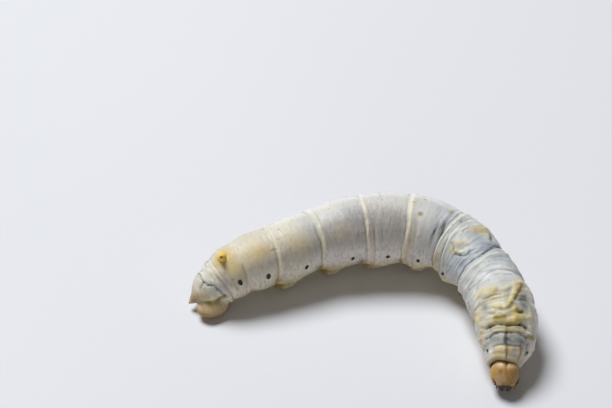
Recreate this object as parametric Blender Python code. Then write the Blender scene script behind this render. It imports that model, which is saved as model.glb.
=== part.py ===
"""A silkworm at life size, bent like a hook and resting on its feet, one solid for each part of its body.

Lengths are in millimetres until a mesh is made, and angles are in degrees. +Z is up and the floor is z = 0.
The tail is at -X, the head at +X points to -Y, and the larva's right side faces -Y. Places on the body are
given by their distance along the centreline from the tip of the tail, and by an angle round the body that
is 0 on the middle of the back, positive to the larva's right, and 180 under the belly.
"""
import math
from collections import namedtuple

import bmesh
import bpy
import numpy as np
from mathutils import Matrix, Vector

MM = 0.001
GAP = 0.3

# Body plan

# A segment's length, the way it heads and drops at its middle, the lean of its rings, and its half sizes
# at its front edge. Drop and lean are positive where the front is lower.
Segment = namedtuple("Segment", "name length heading drop lean half_width half_height")

SEGMENTS = [
    Segment("abdomen_10", 3.4, 23, -24, -22, 3.1, 2.9),
    Segment("abdomen_9", 1.8, 26, -24, -20, 3.75, 3.6),
    Segment("abdomen_8", 3.4, 28, -18, -12, 4.2, 4.1),
    Segment("abdomen_7", 5.0, 22, -6, -4, 4.5, 4.45),
    Segment("abdomen_6", 7.8, 26, -4, -3, 4.85, 4.75),
    Segment("abdomen_5", 8.0, 14, -3, -3, 5.6, 5.45),
    Segment("abdomen_4", 7.0, 1, 0, 0, 5.7, 5.5),
    Segment("abdomen_3", 6.7, -20, 1, 1, 5.1, 5.0),
    Segment("abdomen_2", 8.0, -53, 3, 3, 4.5, 4.4),
    Segment("abdomen_1", 5.2, -73, 3, 4, 4.85, 4.7),
    Segment("thorax_3", 3.7, -77, 6, 12, 4.95, 4.8),
    Segment("thorax_2", 4.3, -88, 12, 22, 4.3, 4.1),
    Segment("thorax_1", 4.0, -94, 14, 28, 2.8, 2.7),
]
TAIL_TIP = (-25.75, 0.85, 2.0)
TAIL_HALF_WIDTH = 2.5
TAIL_HALF_HEIGHT = 2.0
TAIL_ROUNDING = 3.0
TAIL_RINGS = 9
# The tail plate ends in a small point, drawn out of the skin near this place.
TAIL_POINT = (-25.75, 0.8, 1.7)
TAIL_POINT_DIRECTION = (-0.80, -0.35, -0.45)
TAIL_POINT_RADIUS = 0.70
TAIL_POINT_LENGTH = 1.25
FIRST_RING = 0.04
BELLY_FLATNESS = 0.9

SIDES = 28
RING_SPACING = 0.85
THORAX_RING_SPACING = 0.5
LINE_STEP = 0.05

# A fold is a hoop raised across the back, which fades out at `reach` degrees to each side.
Fold = namedtuple("Fold", "segment along height width reach")

FOLDS = [
    Fold("abdomen_8", 0.4, 0.20, 0.35, 125),
    Fold("abdomen_7", 0.5, 0.18, 0.35, 125),
    Fold("abdomen_6", 0.5, 0.20, 0.40, 125),
    Fold("abdomen_5", 0.5, 0.20, 0.40, 125),
    Fold("abdomen_4", 0.5, 0.22, 0.40, 125),
    Fold("abdomen_3", 0.6, 0.38, 0.55, 125),
    Fold("abdomen_2", 0.8, 0.40, 0.65, 130),
    Fold("abdomen_1", 0.6, 0.26, 0.55, 130),
    Fold("abdomen_1", 4.9, 0.20, 0.45, 110),
    Fold("thorax_3", 1.0, 0.42, 0.38, 80),
    Fold("thorax_3", 2.6, 0.36, 0.38, 90),
    Fold("thorax_2", 0.7, 0.42, 0.38, 80),
    Fold("thorax_2", 2.1, 0.46, 0.38, 75),
    Fold("thorax_2", 3.5, 0.30, 0.35, 95),
    Fold("thorax_1", 1.0, 0.22, 0.50, 80),
    Fold("thorax_1", 2.9, 0.26, 0.60, 60),
]

# A lobe is a soft pad, or a hollow if its height is negative, with its size along the body and round it.
# It lies on the right side for a side of 1, on the left for -1, and on both for 0.
Lobe = namedtuple("Lobe", "segment along angle length width height side")

LOBES = [
    Lobe("abdomen_9", 0.8, 128, 1.0, 1.0, 0.50, 0),
    Lobe("abdomen_8", 1.6, 128, 1.1, 1.2, 0.10, 0),
    Lobe("abdomen_7", 2.4, 126, 1.6, 1.3, 0.25, 0),
    Lobe("abdomen_6", 2.6, 128, 2.0, 1.3, 0.30, 0),
    Lobe("abdomen_5", 2.6, 128, 2.2, 1.4, 0.30, 0),
    Lobe("abdomen_4", 2.4, 126, 2.0, 1.4, 0.50, 0),
    Lobe("abdomen_3", 3.0, 124, 2.1, 1.4, 0.70, 0),
    Lobe("abdomen_2", 4.3, 122, 2.0, 1.3, 0.40, 0),
    Lobe("abdomen_2", 5.0, 124, 2.2, 1.6, 0.65, 1),
    Lobe("abdomen_1", 2.6, 120, 1.5, 1.3, 0.35, -1),
    Lobe("abdomen_1", 3.8, 112, 1.4, 1.6, -0.25, 1),
    Lobe("thorax_3", 1.9, 110, 1.1, 1.3, 0.22, -1),
    Lobe("thorax_2", 2.6, 100, 1.1, 1.3, 0.25, -1),
    Lobe("thorax_2", 0.4, 98, 3.4, 2.6, -0.90, 1),
    Lobe("thorax_1", 0.4, 80, 0.8, 1.0, 0.30, -1),
    Lobe("thorax_1", 2.0, 96, 1.0, 1.1, 0.40, -1),
    Lobe("thorax_1", 2.2, 92, 0.9, 1.5, -0.65, 1),
]
SWELL = 0.22

# Breathing holes, horn and crescents

# Tilt turns a hole's long axis from upright toward the head.
Spot = namedtuple("Spot", "segment along angle half_length half_height tilt")

SPIRACLES = [
    Spot("abdomen_8", 1.85, 68, 0.34, 0.52, 0),
    Spot("abdomen_7", 3.2, 82, 0.32, 0.48, 8),
    Spot("abdomen_6", 4.15, 91, 0.24, 0.38, 25),
    Spot("abdomen_5", 5.0, 97, 0.24, 0.36, 35),
    Spot("abdomen_4", 3.7, 97, 0.24, 0.36, 60),
    Spot("abdomen_3", 3.6, 101, 0.26, 0.34, 0),
    Spot("abdomen_2", 4.25, 112, 0.26, 0.36, 0),
    Spot("abdomen_1", 2.6, 113, 0.26, 0.34, 0),
    Spot("thorax_1", 2.9, 61, 0.34, 0.14, 0),
]
SPIRACLE_RISE = 0.12
ROOT_DEPTH = 0.6

CRESCENT_SEGMENT = "abdomen_2"
CRESCENT_ALONG = 4.6
CRESCENT_ANGLE = 29
CRESCENT_RADIUS = 1.15
CRESCENT_THICKNESS = 0.34
CRESCENT_SWEEP = 230

HORN_SEGMENT = "abdomen_8"
HORN_ALONG = 1.4
HORN_LENGTH = 2.0
HORN_RADIUS = 0.75
HORN_TIP_RADIUS = 0.2
HORN_DIRECTION = (-0.08, -0.67, 0.74)

# Feet

# A proleg's root is `along` in front of its segment's rear edge, and its sole `back` behind the root.
Proleg = namedtuple("Proleg", "segment along back")

PROLEGS = [
    Proleg("abdomen_3", 2.7, 1.0),
    Proleg("abdomen_4", 1.8, 0.7),
    Proleg("abdomen_5", 2.1, 0.0),
    Proleg("abdomen_6", 2.0, 0.6),
]
PROLEG_ROOT_OFFSET = 2.3
PROLEG_SOLE_OFFSET = 1.2
PROLEG_ROOT_HEIGHT = 3.4

# Each anal proleg's place along the body, offset and half length: the left one is drawn in and forward.
ANAL_PROLEGS = {"right": (2.4, 2.5, 2.6), "left": (2.9, 2.05, 1.8)}
ANAL_HALF_WIDTH = 1.9
ANAL_HALF_HEIGHT = 1.9
ANAL_SOLE_SCALE = 0.55
ANAL_WAIST_SCALE = 0.67
ANAL_TOP = 0.75
ANAL_RINGS = 8

LegPlace = namedtuple("LegPlace", "segment along root_offset foot_offset forward root_height")

THORACIC_LEGS = [
    LegPlace("thorax_1", 2.3, 1.5, 1.1, 0.5, 2.6),
    LegPlace("thorax_2", 2.2, 2.1, 1.5, 0.4, 3.1),
    LegPlace("thorax_3", 1.9, 2.3, 1.8, 0.3, 3.3),
]
LEG_RADII = (0.95, 0.85, 0.70, 0.76, 0.56, 0.60, 0.40, 0.27)
LEG_SIDES = 10
LEG_BOW = 0.25

# Head. Its own directions are right, out of the face, and down to the mouth.

HEAD_CENTRE = (21.03, -15.35, 2.85)
HEAD_HEADING = -93
HEAD_DROP = 50
HEAD_HALF_WIDTH = 2.2
HEAD_HALF_DEPTH = 2.0
HEAD_HALF_LENGTH = 2.25
CHEEK_FULLNESS = 0.62
CROWN = 6
MOUTH_RIM = 144
HEAD_SIDES = 28
HEAD_RINGS = 15
HEAD_LOBE_HEIGHT = 0.16
HEAD_LOBE_OFFSET = 1.1
HEAD_LOBE_SPREAD = 0.8
SUTURE_DEPTH = 0.16
SUTURE_WIDTH = 0.3
MOUTH_LEVEL = -HEAD_HALF_LENGTH * math.cos(math.radians(MOUTH_RIM))
JAW_OFFSET = 0.62
JAW_LENGTH = 0.5
LOWER_LIP_HALF_WIDTH = 0.82
# Where a feeler leaves the mouth's rim, and the way it points
FEELER_ROOT = (1.22, 0.62)
FEELER_DIRECTION = (0.2, 0.2, 0.95)
FEELER_LENGTH = 0.5

# Each cheek's six simple eyes: degrees from the crown to the mouth, and degrees from the face
EYES = ((111, 62), (117, 56), (124, 52), (131, 53), (136, 60), (125, 65))
EYE_RADIUS = 0.10


# Curves and frames

def fair(knots, values, at):
    """A fair curve through the knots: cubic pieces with central slopes."""
    knots = np.asarray(knots, float)
    values = np.asarray(values, float)
    slopes = np.gradient(values, knots)
    piece = np.clip(np.searchsorted(knots, at) - 1, 0, len(knots) - 2)
    span = knots[piece + 1] - knots[piece]
    t = (at - knots[piece]) / span
    start = (1 + 2 * t) * (1 - t) ** 2 * values[piece] + t * (1 - t) ** 2 * span * slopes[piece]
    end = t * t * (3 - 2 * t) * values[piece + 1] + t * t * (t - 1) * span * slopes[piece + 1]
    return start + end


EDGES = np.concatenate([[0.0], np.cumsum([part.length for part in SEGMENTS])])
LINE = np.arange(0.0, EDGES[-1] + LINE_STEP / 2, LINE_STEP)
NUMBER = {part.name: i for i, part in enumerate(SEGMENTS)}


def from_middles(values):
    """Values given at the segments' middles, for every point of the line."""
    middles = (EDGES[1:] + EDGES[:-1]) / 2
    knots = np.concatenate([[EDGES[0]], middles, [EDGES[-1]]])
    return fair(knots, [values[0], *values, values[-1]], LINE)


def directions(heading, drop):
    """Unit vectors along, up and to the right, for a heading and a drop in radians."""
    level = np.cos(drop)
    along = np.stack([np.cos(heading) * level, np.sin(heading) * level, -np.sin(drop)], -1)
    up = np.stack([np.cos(heading) * np.sin(drop), np.sin(heading) * np.sin(drop), level], -1)
    return along, up, np.cross(along, up)


HEADING = np.radians(from_middles([part.heading for part in SEGMENTS]))
DROP = np.radians(from_middles([part.drop for part in SEGMENTS]))
LEAN = np.radians(from_middles([part.lean for part in SEGMENTS]))
PATH = directions(HEADING, DROP)[0]
CENTRES = np.array(TAIL_TIP) + np.concatenate([
    np.zeros((1, 3)),
    np.cumsum((PATH[1:] + PATH[:-1]) / 2 * LINE_STEP, axis=0),
])


def frame_at(s):
    """The centre of the body at a distance from the tail, and its vectors along, up and to the right."""
    heading = np.interp(s, LINE, HEADING)
    lean = np.interp(s, LINE, LEAN)
    centre = np.array([np.interp(s, LINE, CENTRES[:, axis]) for axis in range(3)])
    return (centre, *directions(heading, lean))


def place_of(segment, along):
    """The distance from the tail of a place given from a segment's rear edge."""
    return EDGES[NUMBER[segment]] + along


# The skin's shape

def half_sizes(s):
    """Half the body's width and height, rounded off at the tip of the tail."""
    widths = [TAIL_HALF_WIDTH, *[part.half_width for part in SEGMENTS]]
    heights = [TAIL_HALF_HEIGHT, *[part.half_height for part in SEGMENTS]]
    left = 1 - np.minimum(s / TAIL_ROUNDING, 1)
    rounding = np.sqrt(1 - left * left)
    return fair(EDGES, widths, s) * rounding, fair(EDGES, heights, s) * rounding


def bell(x):
    return np.exp(-x * x)


def angle_between(a, b):
    return (a - b + 180) % 360 - 180


def relief(s, angle):
    """How far the skin stands out from the plain body: swelling segments, folds and lobes."""
    number = min(max(int(np.searchsorted(EDGES, s) - 1), 0), len(SEGMENTS) - 1)
    u = (s - EDGES[number]) / SEGMENTS[number].length
    half_width = half_sizes(s)[0]
    height = SWELL * math.sin(math.pi * min(max(u, 0), 1)) * np.ones_like(angle)
    turned = np.abs(angle_between(angle, 0))
    for fold in FOLDS:
        fade = 1 / (1 + np.exp((turned - fold.reach) / 8))
        height += fold.height * fade * bell((s - place_of(fold.segment, fold.along)) / fold.width)
    for lobe in LOBES:
        lengthwise = bell((s - place_of(lobe.segment, lobe.along)) / lobe.length)
        sideways = np.radians(turned - lobe.angle) * half_width / lobe.width
        own_side = (lobe.side == 0) | (np.sign(angle_between(angle, 0)) == lobe.side)
        height += lobe.height * lengthwise * bell(sideways) * own_side
    return height * min(1.0, s / TAIL_ROUNDING)


def skin_ring(s, angles, frame, extra=0.0):
    """A ring of the body's surface round a frame, for angles in degrees."""
    centre, _, up, right = frame
    half_width, half_height = half_sizes(s)
    lift = relief(s, angles) + extra
    radians = np.radians(angles)
    sideways = (half_width + lift) * np.sin(radians)
    upward = (half_height + lift) * np.cos(radians)
    upward = np.where(upward < 0, upward * BELLY_FLATNESS, upward)
    return centre + sideways[:, None] * right + upward[:, None] * up


def on_skin(s, angle):
    """A point of the skin with its outward normal and its direction toward the head."""
    nudge = 0.2
    angles = np.array([angle - 2.0, angle, angle + 2.0])
    here = skin_ring(s, angles, frame_at(s))
    ahead = skin_ring(s + nudge, angles[1:2], frame_at(s + nudge))[0]
    behind = skin_ring(s - nudge, angles[1:2], frame_at(s - nudge))[0]
    forward = Vector(ahead - behind).normalized()
    normal = forward.cross(Vector(here[2] - here[0])).normalized()
    outward = Vector(here[1] - frame_at(s)[0])
    if normal.dot(outward) < 0:
        normal.negate()
    return Vector(here[1]), normal, forward


# Mesh making

def new_object(name, mesh_maker):
    """An object whose mesh is made in millimetres and kept in metres, with its faces pointing out."""
    bm = bmesh.new()
    mesh_maker(bm)
    bmesh.ops.scale(bm, vec=(MM, MM, MM), verts=bm.verts)
    bmesh.ops.recalc_face_normals(bm, faces=bm.faces)
    mesh = bpy.data.meshes.new(name)
    bm.to_mesh(mesh)
    bm.free()
    obj = bpy.data.objects.new(name, mesh)
    bpy.context.scene.collection.objects.link(obj)
    return obj


def loft(bm, rings):
    """A closed skin over rings of equal point counts, with a flat face at each end."""
    rows = [[bm.verts.new(point) for point in ring] for ring in rings]
    for low, high in zip(rows, rows[1:]):
        for i in range(len(low)):
            j = (i + 1) % len(low)
            bm.faces.new((low[i], low[j], high[j], high[i]))
    bm.faces.new(rows[0])
    bm.faces.new(rows[-1])


def boolean(target, operation, others):
    """Join or cut the target by a collection of closed objects, apply it and remove them."""
    group = bpy.data.collections.new("operands")
    bpy.context.scene.collection.children.link(group)
    for other in others:
        group.objects.link(other)
    modifier = target.modifiers.new("boolean", "BOOLEAN")
    modifier.operation = operation
    modifier.operand_type = "COLLECTION"
    modifier.collection = group
    modifier.solver = "EXACT"
    bpy.context.view_layer.update()
    evaluated = target.evaluated_get(bpy.context.evaluated_depsgraph_get())
    mesh = bpy.data.meshes.new_from_object(evaluated)
    target.modifiers.clear()
    target.data = mesh
    for other in others:
        bpy.data.objects.remove(other)
    bpy.data.collections.remove(group)
    keep_largest(target)


def keep_largest(obj):
    """Leave only the mesh's largest closed surface."""
    bm = bmesh.new()
    bm.from_mesh(obj.data)
    unseen = set(bm.verts)
    pieces = []
    while unseen:
        piece = set()
        front = [unseen.pop()]
        while front:
            vert = front.pop()
            piece.add(vert)
            for edge in vert.link_edges:
                other = edge.other_vert(vert)
                if other in unseen:
                    unseen.remove(other)
                    front.append(other)
        pieces.append(piece)
    largest = max(pieces, key=len)
    loose = [vert for vert in bm.verts if vert not in largest]
    bmesh.ops.delete(bm, geom=loose, context="VERTS")
    bm.to_mesh(obj.data)
    bm.free()


def finish(obj, material, crease=40):
    """Give an object its material and smooth shading with a crease at sharp edges."""
    obj.data.materials.clear()
    obj.data.materials.append(material)
    obj.data.shade_smooth()
    obj.data.set_sharp_from_angle(angle=math.radians(crease))
    return obj


def plain_material(name, colour, roughness):
    material = bpy.data.materials.new(name)
    material.use_nodes = True
    shader = material.node_tree.nodes["Principled BSDF"]
    shader.inputs["Base Color"].default_value = (*colour, 1.0)
    shader.inputs["Roughness"].default_value = roughness
    shader.inputs["Metallic"].default_value = 0.0
    return material


# Body segments

def segment_rings(start, end, spacing, extra=0.0, square=True):
    """Rings from one place to another. Square ends keep the frames of the edges that they stand beside."""
    count = max(3, math.ceil((end - start) / spacing) + 1)
    angles = np.arange(SIDES) * 360 / SIDES
    rings = []
    for i, s in enumerate(np.linspace(start, end, count)):
        frame = frame_at(s)
        if square and i in (0, count - 1) and s > GAP:
            inward = GAP / 2 if i == 0 else -GAP / 2
            centre, along, up, right = frame_at(s - inward)
            frame = (centre + inward * along, along, up, right)
        rings.append(skin_ring(s, angles, frame, extra))
    return rings


def tail_rings():
    """Rings of the last segment, closer together where the tail rounds off."""
    end = EDGES[1] - GAP / 2
    angles = np.arange(SIDES) * 360 / SIDES
    last = TAIL_RINGS - 1
    rings = []
    for i in range(TAIL_RINGS):
        s = FIRST_RING + (end - FIRST_RING) * (1 - math.cos(math.pi / 2 * i / last))
        frame = frame_at(s)
        if i == last:
            centre, along, up, right = frame_at(EDGES[1])
            frame = (centre - GAP / 2 * along, along, up, right)
        rings.append(with_tail_point(skin_ring(s, angles, frame)))
    return rings


def with_tail_point(ring):
    """A ring of points with those near the plate's end drawn out to its small point."""
    away = np.linalg.norm(ring - np.array(TAIL_POINT), axis=-1)
    ahead = np.array(TAIL_POINT_DIRECTION) / np.linalg.norm(TAIL_POINT_DIRECTION)
    return ring + (bell(away / TAIL_POINT_RADIUS) * TAIL_POINT_LENGTH)[:, None] * ahead


def spiracle(spot, side):
    """The raised oval rim of a breathing hole, rooted in the flank."""
    point, normal, forward = on_skin(place_of(spot.segment, spot.along), side * spot.angle)
    across = normal.cross(forward)
    lean = math.radians(spot.tilt)
    upright = across * math.cos(lean) + forward * (side * math.sin(lean))
    level = forward * math.cos(lean) - across * (side * math.sin(lean))
    sides = 10
    # Height over the skin, and share of the full size
    levels = ((-ROOT_DEPTH, 0.8), (0.0, 1.0), (SPIRACLE_RISE, 0.7))

    def make(bm):
        rings = []
        for height, scale in levels:
            ring = []
            for i in range(sides):
                turn = 2 * math.pi * i / sides
                offset = level * math.cos(turn) * spot.half_length + upright * math.sin(turn) * spot.half_height
                ring.append(point + normal * height + offset * scale)
            rings.append(ring)
        loft(bm, rings)

    return new_object("spiracle", make)


def crescent(side):
    """One of the two curved welts on the back, which open toward the midline."""
    s = place_of(CRESCENT_SEGMENT, CRESCENT_ALONG)
    steps = 11
    tube_sides = 6

    def make(bm):
        rings = []
        for i in range(steps):
            share = i / (steps - 1)
            turn = math.radians(CRESCENT_SWEEP * (share - 0.5))
            taper = 0.55 + 0.45 * math.sin(math.pi * share)
            reach_along = CRESCENT_RADIUS * math.sin(turn)
            reach_round = CRESCENT_RADIUS * math.cos(turn)
            angle = side * CRESCENT_ANGLE + side * math.degrees(reach_round / half_sizes(s)[0])
            point, normal, forward = on_skin(s + reach_along, angle)
            sideways = forward.cross(normal) * side
            outward = forward * math.sin(turn) + sideways * math.cos(turn)
            ring = []
            for j in range(tube_sides):
                corner = 2 * math.pi * j / tube_sides
                offset = normal * math.sin(corner) + outward * math.cos(corner)
                ring.append(point + offset * CRESCENT_THICKNESS * taper)
            rings.append(ring)
        loft(bm, rings)

    return new_object("crescent", make)


def make_segments(skin):
    for i, part in enumerate(SEGMENTS):
        if i == 0:
            rings = tail_rings()
        else:
            spacing = THORAX_RING_SPACING if part.name.startswith("thorax") else RING_SPACING
            rings = segment_rings(EDGES[i] + GAP / 2, EDGES[i + 1] - GAP / 2, spacing)
        segment = new_object(part.name, lambda bm: loft(bm, rings))
        extras = [spiracle(spot, side) for spot in SPIRACLES if spot.segment == part.name for side in (1, -1)]
        if part.name == CRESCENT_SEGMENT:
            extras += [crescent(side) for side in (1, -1)]
        if extras:
            boolean(segment, "UNION", extras)
        finish(segment, skin)


def body_cutter(s_from, s_to):
    """The body between two places, thicker by the gap that a limb keeps to it."""
    start = max(s_from, FIRST_RING)
    end = min(s_to, EDGES[-1])
    rings = segment_rings(start, end, RING_SPACING / 2, extra=GAP, square=False)
    return new_object("cutter", lambda bm: loft(bm, rings))


# Limbs

def level_ring(centre, along, across, half_length, half_width, sides):
    """An oval ring in a level plane."""
    ring = []
    for i in range(sides):
        turn = 2 * math.pi * i / sides
        ring.append(centre + along * half_length * math.cos(turn) + across * half_width * math.sin(turn))
    return ring


def level_frame(s):
    """The body's centre with level vectors along it and to its right."""
    centre, along, _, right = frame_at(s)
    forward = Vector((along[0], along[1], 0)).normalized()
    return Vector(centre), forward, Vector((right[0], right[1], 0)).normalized()


def make_prolegs(material):
    # Height, share of the way from sole to root, and the half sizes along and across
    profile = (
        (0.00, 0.00, 0.85, 0.62),
        (0.12, 0.00, 1.04, 0.84),
        (0.40, 0.10, 1.18, 0.98),
        (0.75, 0.30, 1.30, 1.12),
        (1.30, 0.55, 1.56, 1.35),
        (2.10, 0.80, 1.90, 1.60),
        (PROLEG_ROOT_HEIGHT, 1.00, 2.10, 1.75),
    )
    for place in PROLEGS:
        s = place_of(place.segment, place.along)
        for side, side_name in ((1, "right"), (-1, "left")):
            centre, forward, right = level_frame(s)
            root = Vector((centre.x, centre.y, 0)) + right * side * PROLEG_ROOT_OFFSET
            sole = Vector((centre.x, centre.y, 0)) + right * side * PROLEG_SOLE_OFFSET - forward * place.back

            def make(bm):
                rings = []
                for height, share, half_length, half_width in profile:
                    middle = sole.lerp(root, share) + Vector((0, 0, height))
                    rings.append(level_ring(middle, forward, right, half_length, half_width, 14))
                loft(bm, rings)

            leg = new_object(f"proleg_{place.segment[8:]}_{side_name}", make)
            boolean(leg, "DIFFERENCE", [body_cutter(s - 5, s + 5)])
            finish(leg, material)


def make_anal_prolegs(material):
    """The pair of broad lobes under the tail that clasp a twig."""
    for side, side_name in ((1, "right"), (-1, "left")):
        along, offset, half_length = ANAL_PROLEGS[side_name]
        centre, forward, right = level_frame(along)
        middle = Vector((centre.x, centre.y, ANAL_HALF_HEIGHT)) + right * side * offset

        def make(bm):
            rings = []
            for i in range(ANAL_RINGS):
                rise = -1 + (1 + ANAL_TOP) * i / (ANAL_RINGS - 1)
                least = ANAL_SOLE_SCALE if i == 0 else ANAL_WAIST_SCALE
                girth = max(math.sqrt(1 - rise * rise), least)
                level = middle + Vector((0, 0, rise * ANAL_HALF_HEIGHT))
                length = half_length * girth
                rings.append(level_ring(level, forward, right, length, ANAL_HALF_WIDTH * girth, 16))
            loft(bm, rings)

        leg = new_object(f"anal_proleg_{side_name}", make)
        boolean(leg, "DIFFERENCE", [body_cutter(0, 8)])
        finish(leg, material)


def make_thoracic_legs(material):
    """Six short jointed legs, each ending in a claw."""
    for number, place in enumerate(THORACIC_LEGS, 1):
        s = place_of(place.segment, place.along)
        for side, side_name in ((1, "right"), (-1, "left")):
            centre, forward, right = level_frame(s)
            floor = Vector((centre.x, centre.y, 0))
            root = floor + right * side * place.root_offset + Vector((0, 0, place.root_height))
            foot = floor + right * side * place.foot_offset + forward * place.forward

            def make(bm):
                rings = []
                steps = len(LEG_RADII)
                for i, radius in enumerate(LEG_RADII):
                    share = i / (steps - 1)
                    bow = right * side * LEG_BOW * math.sin(math.pi * share)
                    middle = root.lerp(foot, share) + bow
                    rings.append(level_ring(middle, forward, right, radius, radius, LEG_SIDES))
                loft(bm, rings)

            leg = new_object(f"thoracic_leg_{number}_{side_name}", make)
            boolean(leg, "DIFFERENCE", [body_cutter(s - 4, s + 4)])
            finish(leg, material)


def make_horn(material):
    """The short soft horn on the back of the eighth segment."""
    s = place_of(HORN_SEGMENT, HORN_ALONG)
    base, _, _ = on_skin(s, 0)
    direction = Vector(HORN_DIRECTION).normalized()
    forward = Vector(frame_at(s)[1])
    across = direction.cross(forward).normalized()
    ahead = across.cross(direction).normalized()
    # Height over the skin, and share of the root's radius
    profile = ((-1.2, 1.0), (0.1, 1.0), (0.5, 0.78), (1.0, 0.6), (1.5, 0.46), (1.85, 0.36), (HORN_LENGTH, 0.2))

    def make(bm):
        rings = []
        for height, scale in profile:
            radius = max(HORN_RADIUS * scale, HORN_TIP_RADIUS)
            middle = base + direction * height
            rings.append(level_ring(middle, ahead, across, radius, radius, 12))
        loft(bm, rings)

    horn = new_object("horn", make)
    boolean(horn, "DIFFERENCE", [body_cutter(s - 4, s + 4)])
    finish(horn, material)


# Head

def head_frame():
    """The head's centre, with vectors to its mouth, out of its face and to its right."""
    mouth, face, right = directions(np.radians(float(HEAD_HEADING)), np.radians(float(HEAD_DROP)))
    return Vector(HEAD_CENTRE), Vector(mouth), Vector(face), Vector(right)


def in_head(x, y, z):
    """A point given to the right, out of the face and down to the mouth."""
    centre, mouth, face, right = head_frame()
    return centre + right * x + face * y + mouth * z


def capsule_point(down, turn):
    """A point of the capsule: `down` runs from the crown at 0 to the mouth, `turn` from face to right."""
    d = math.radians(down)
    t = math.radians(turn)
    girth = math.sin(d) ** (CHEEK_FULLNESS if down > 90 else 1.0)
    x = HEAD_HALF_WIDTH * girth * math.sin(t)
    y = HEAD_HALF_DEPTH * girth * math.cos(t)
    z = -HEAD_HALF_LENGTH * math.cos(d)
    lobes = HEAD_LOBE_HEIGHT * math.exp(-((abs(x) - HEAD_LOBE_OFFSET) / HEAD_LOBE_SPREAD) ** 2)
    lobes *= max(0.0, -z / HEAD_HALF_LENGTH)
    fade = max(0.0, min(1.0, (105 - down) / 40))
    groove = SUTURE_DEPTH * math.exp(-(x / SUTURE_WIDTH) ** 2) * fade
    scale = 1 + (lobes - groove) / HEAD_HALF_DEPTH
    return in_head(x * scale, y * scale, z * scale)


def make_head(material):
    """The capsule of two round lobes, cut flat at the neck, with the eyes and the upper lip on it."""

    def make(bm):
        rings = []
        for i in range(HEAD_RINGS):
            down = CROWN + (MOUTH_RIM - CROWN) * i / (HEAD_RINGS - 1)
            rings.append([capsule_point(down, 360 * j / HEAD_SIDES) for j in range(HEAD_SIDES)])
        loft(bm, rings)

    head = new_object("head", make)
    extras = [eye(side * turn, down) for side in (1, -1) for down, turn in EYES]
    extras += [clypeus(), upper_lip()]
    boolean(head, "UNION", extras)
    boolean(head, "DIFFERENCE", [neck_cutter()])
    finish(head, material)


def eye(turn, down):
    """A tiny simple eye, half sunk in the cheek."""
    place = Matrix.Translation(capsule_point(down, turn))

    def make(bm):
        bmesh.ops.create_icosphere(bm, subdivisions=1, radius=EYE_RADIUS, matrix=place)

    return new_object("eye", make)


def plate(name, outline, back, front):
    """A closed plate over an outline seen from the face, between two surfaces y(x, z)."""

    def make(bm):
        loft(bm, [[in_head(x, surface(x, z), z) for x, z in outline] for surface in (back, front)])

    return new_object(name, make)


def clypeus():
    """The low shield above the upper lip."""
    outline = [(-0.62, 0.85), (0.62, 0.85), (0.78, 1.25), (0.74, 1.62), (-0.74, 1.62), (-0.78, 1.25)]
    return plate("clypeus", outline, lambda x, z: 0.9, lambda x, z: 2.06 - 0.15 * z * z - 0.15 * x * x)


def upper_lip():
    """The notched plate that hangs over the jaws."""
    outline = [(-0.56, 1.5), (0.56, 1.5), (0.62, 1.85), (0.46, 2.1), (0.16, 2.12), (0.0, 2.02),
               (-0.16, 2.12), (-0.46, 2.1), (-0.62, 1.85)]
    return plate("lip", outline, lambda x, z: 0.95, lambda x, z: 2.05 - 0.3 * z - 0.2 * x * x)


def oval_in_head(x, y, z, half_x, half_y, sides):
    ring = []
    for i in range(sides):
        turn = 2 * math.pi * i / sides
        ring.append(in_head(x + half_x * math.cos(turn), y + half_y * math.sin(turn), z))
    return ring


def make_mouthparts(shell, jaw):
    """The jaws behind the upper lip, the lower lip with its palps and spinneret, and the feelers."""
    top = MOUTH_LEVEL + GAP
    for side, side_name in ((1, "right"), (-1, "left")):

        def make_jaw(bm):
            # Share of the way down, offset from the middle, half width and half depth
            levels = ((0, JAW_OFFSET, 0.42, 0.34), (0.5, 0.56, 0.36, 0.30), (1, 0.46, 0.24, 0.2))
            rings = []
            for share, x, wide, deep in levels:
                rings.append(oval_in_head(side * x, 0.12, top + JAW_LENGTH * share, wide, deep, 8))
            loft(bm, rings)

        finish(new_object(f"mandible_{side_name}", make_jaw), jaw)

        def make_feeler(bm):
            # Share of the length, and radius
            levels = ((0.0, 0.17), (0.4, 0.16), (0.46, 0.12), (0.8, 0.11), (1.0, 0.07))
            across, outward, down = FEELER_DIRECTION
            rings = []
            for share, radius in levels:
                reach = FEELER_LENGTH * share
                x = side * (FEELER_ROOT[0] + across * reach)
                y = FEELER_ROOT[1] + outward * reach
                rings.append(oval_in_head(x, y, top + down * reach, radius, radius, 8))
            loft(bm, rings)

        finish(new_object(f"antenna_{side_name}", make_feeler), shell)

    def make_lip(bm):
        levels = ((top, 1.0), (top + 0.2, 0.95), (top + 0.32, 0.73))
        wide = LOWER_LIP_HALF_WIDTH
        deep = wide / 2
        loft(bm, [oval_in_head(0, -0.72, z, wide * scale, deep * scale, 14) for z, scale in levels])

    def rod(x, y, radius, low):
        def make(bm):
            levels = ((top + 0.1, 1.0), (low - 0.1, 0.9), (low, 0.6))
            loft(bm, [oval_in_head(x, y, z, radius * scale, radius * scale, 8) for z, scale in levels])

        return new_object("rod", make)

    lip = new_object("lower_lip", make_lip)
    rods = [rod(0, -0.62, 0.17, top + 0.52)]
    rods += [rod(x, -0.6, 0.18, top + 0.46) for x in (0.48, -0.48)]
    boolean(lip, "UNION", rods)
    finish(lip, shell)


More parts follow.
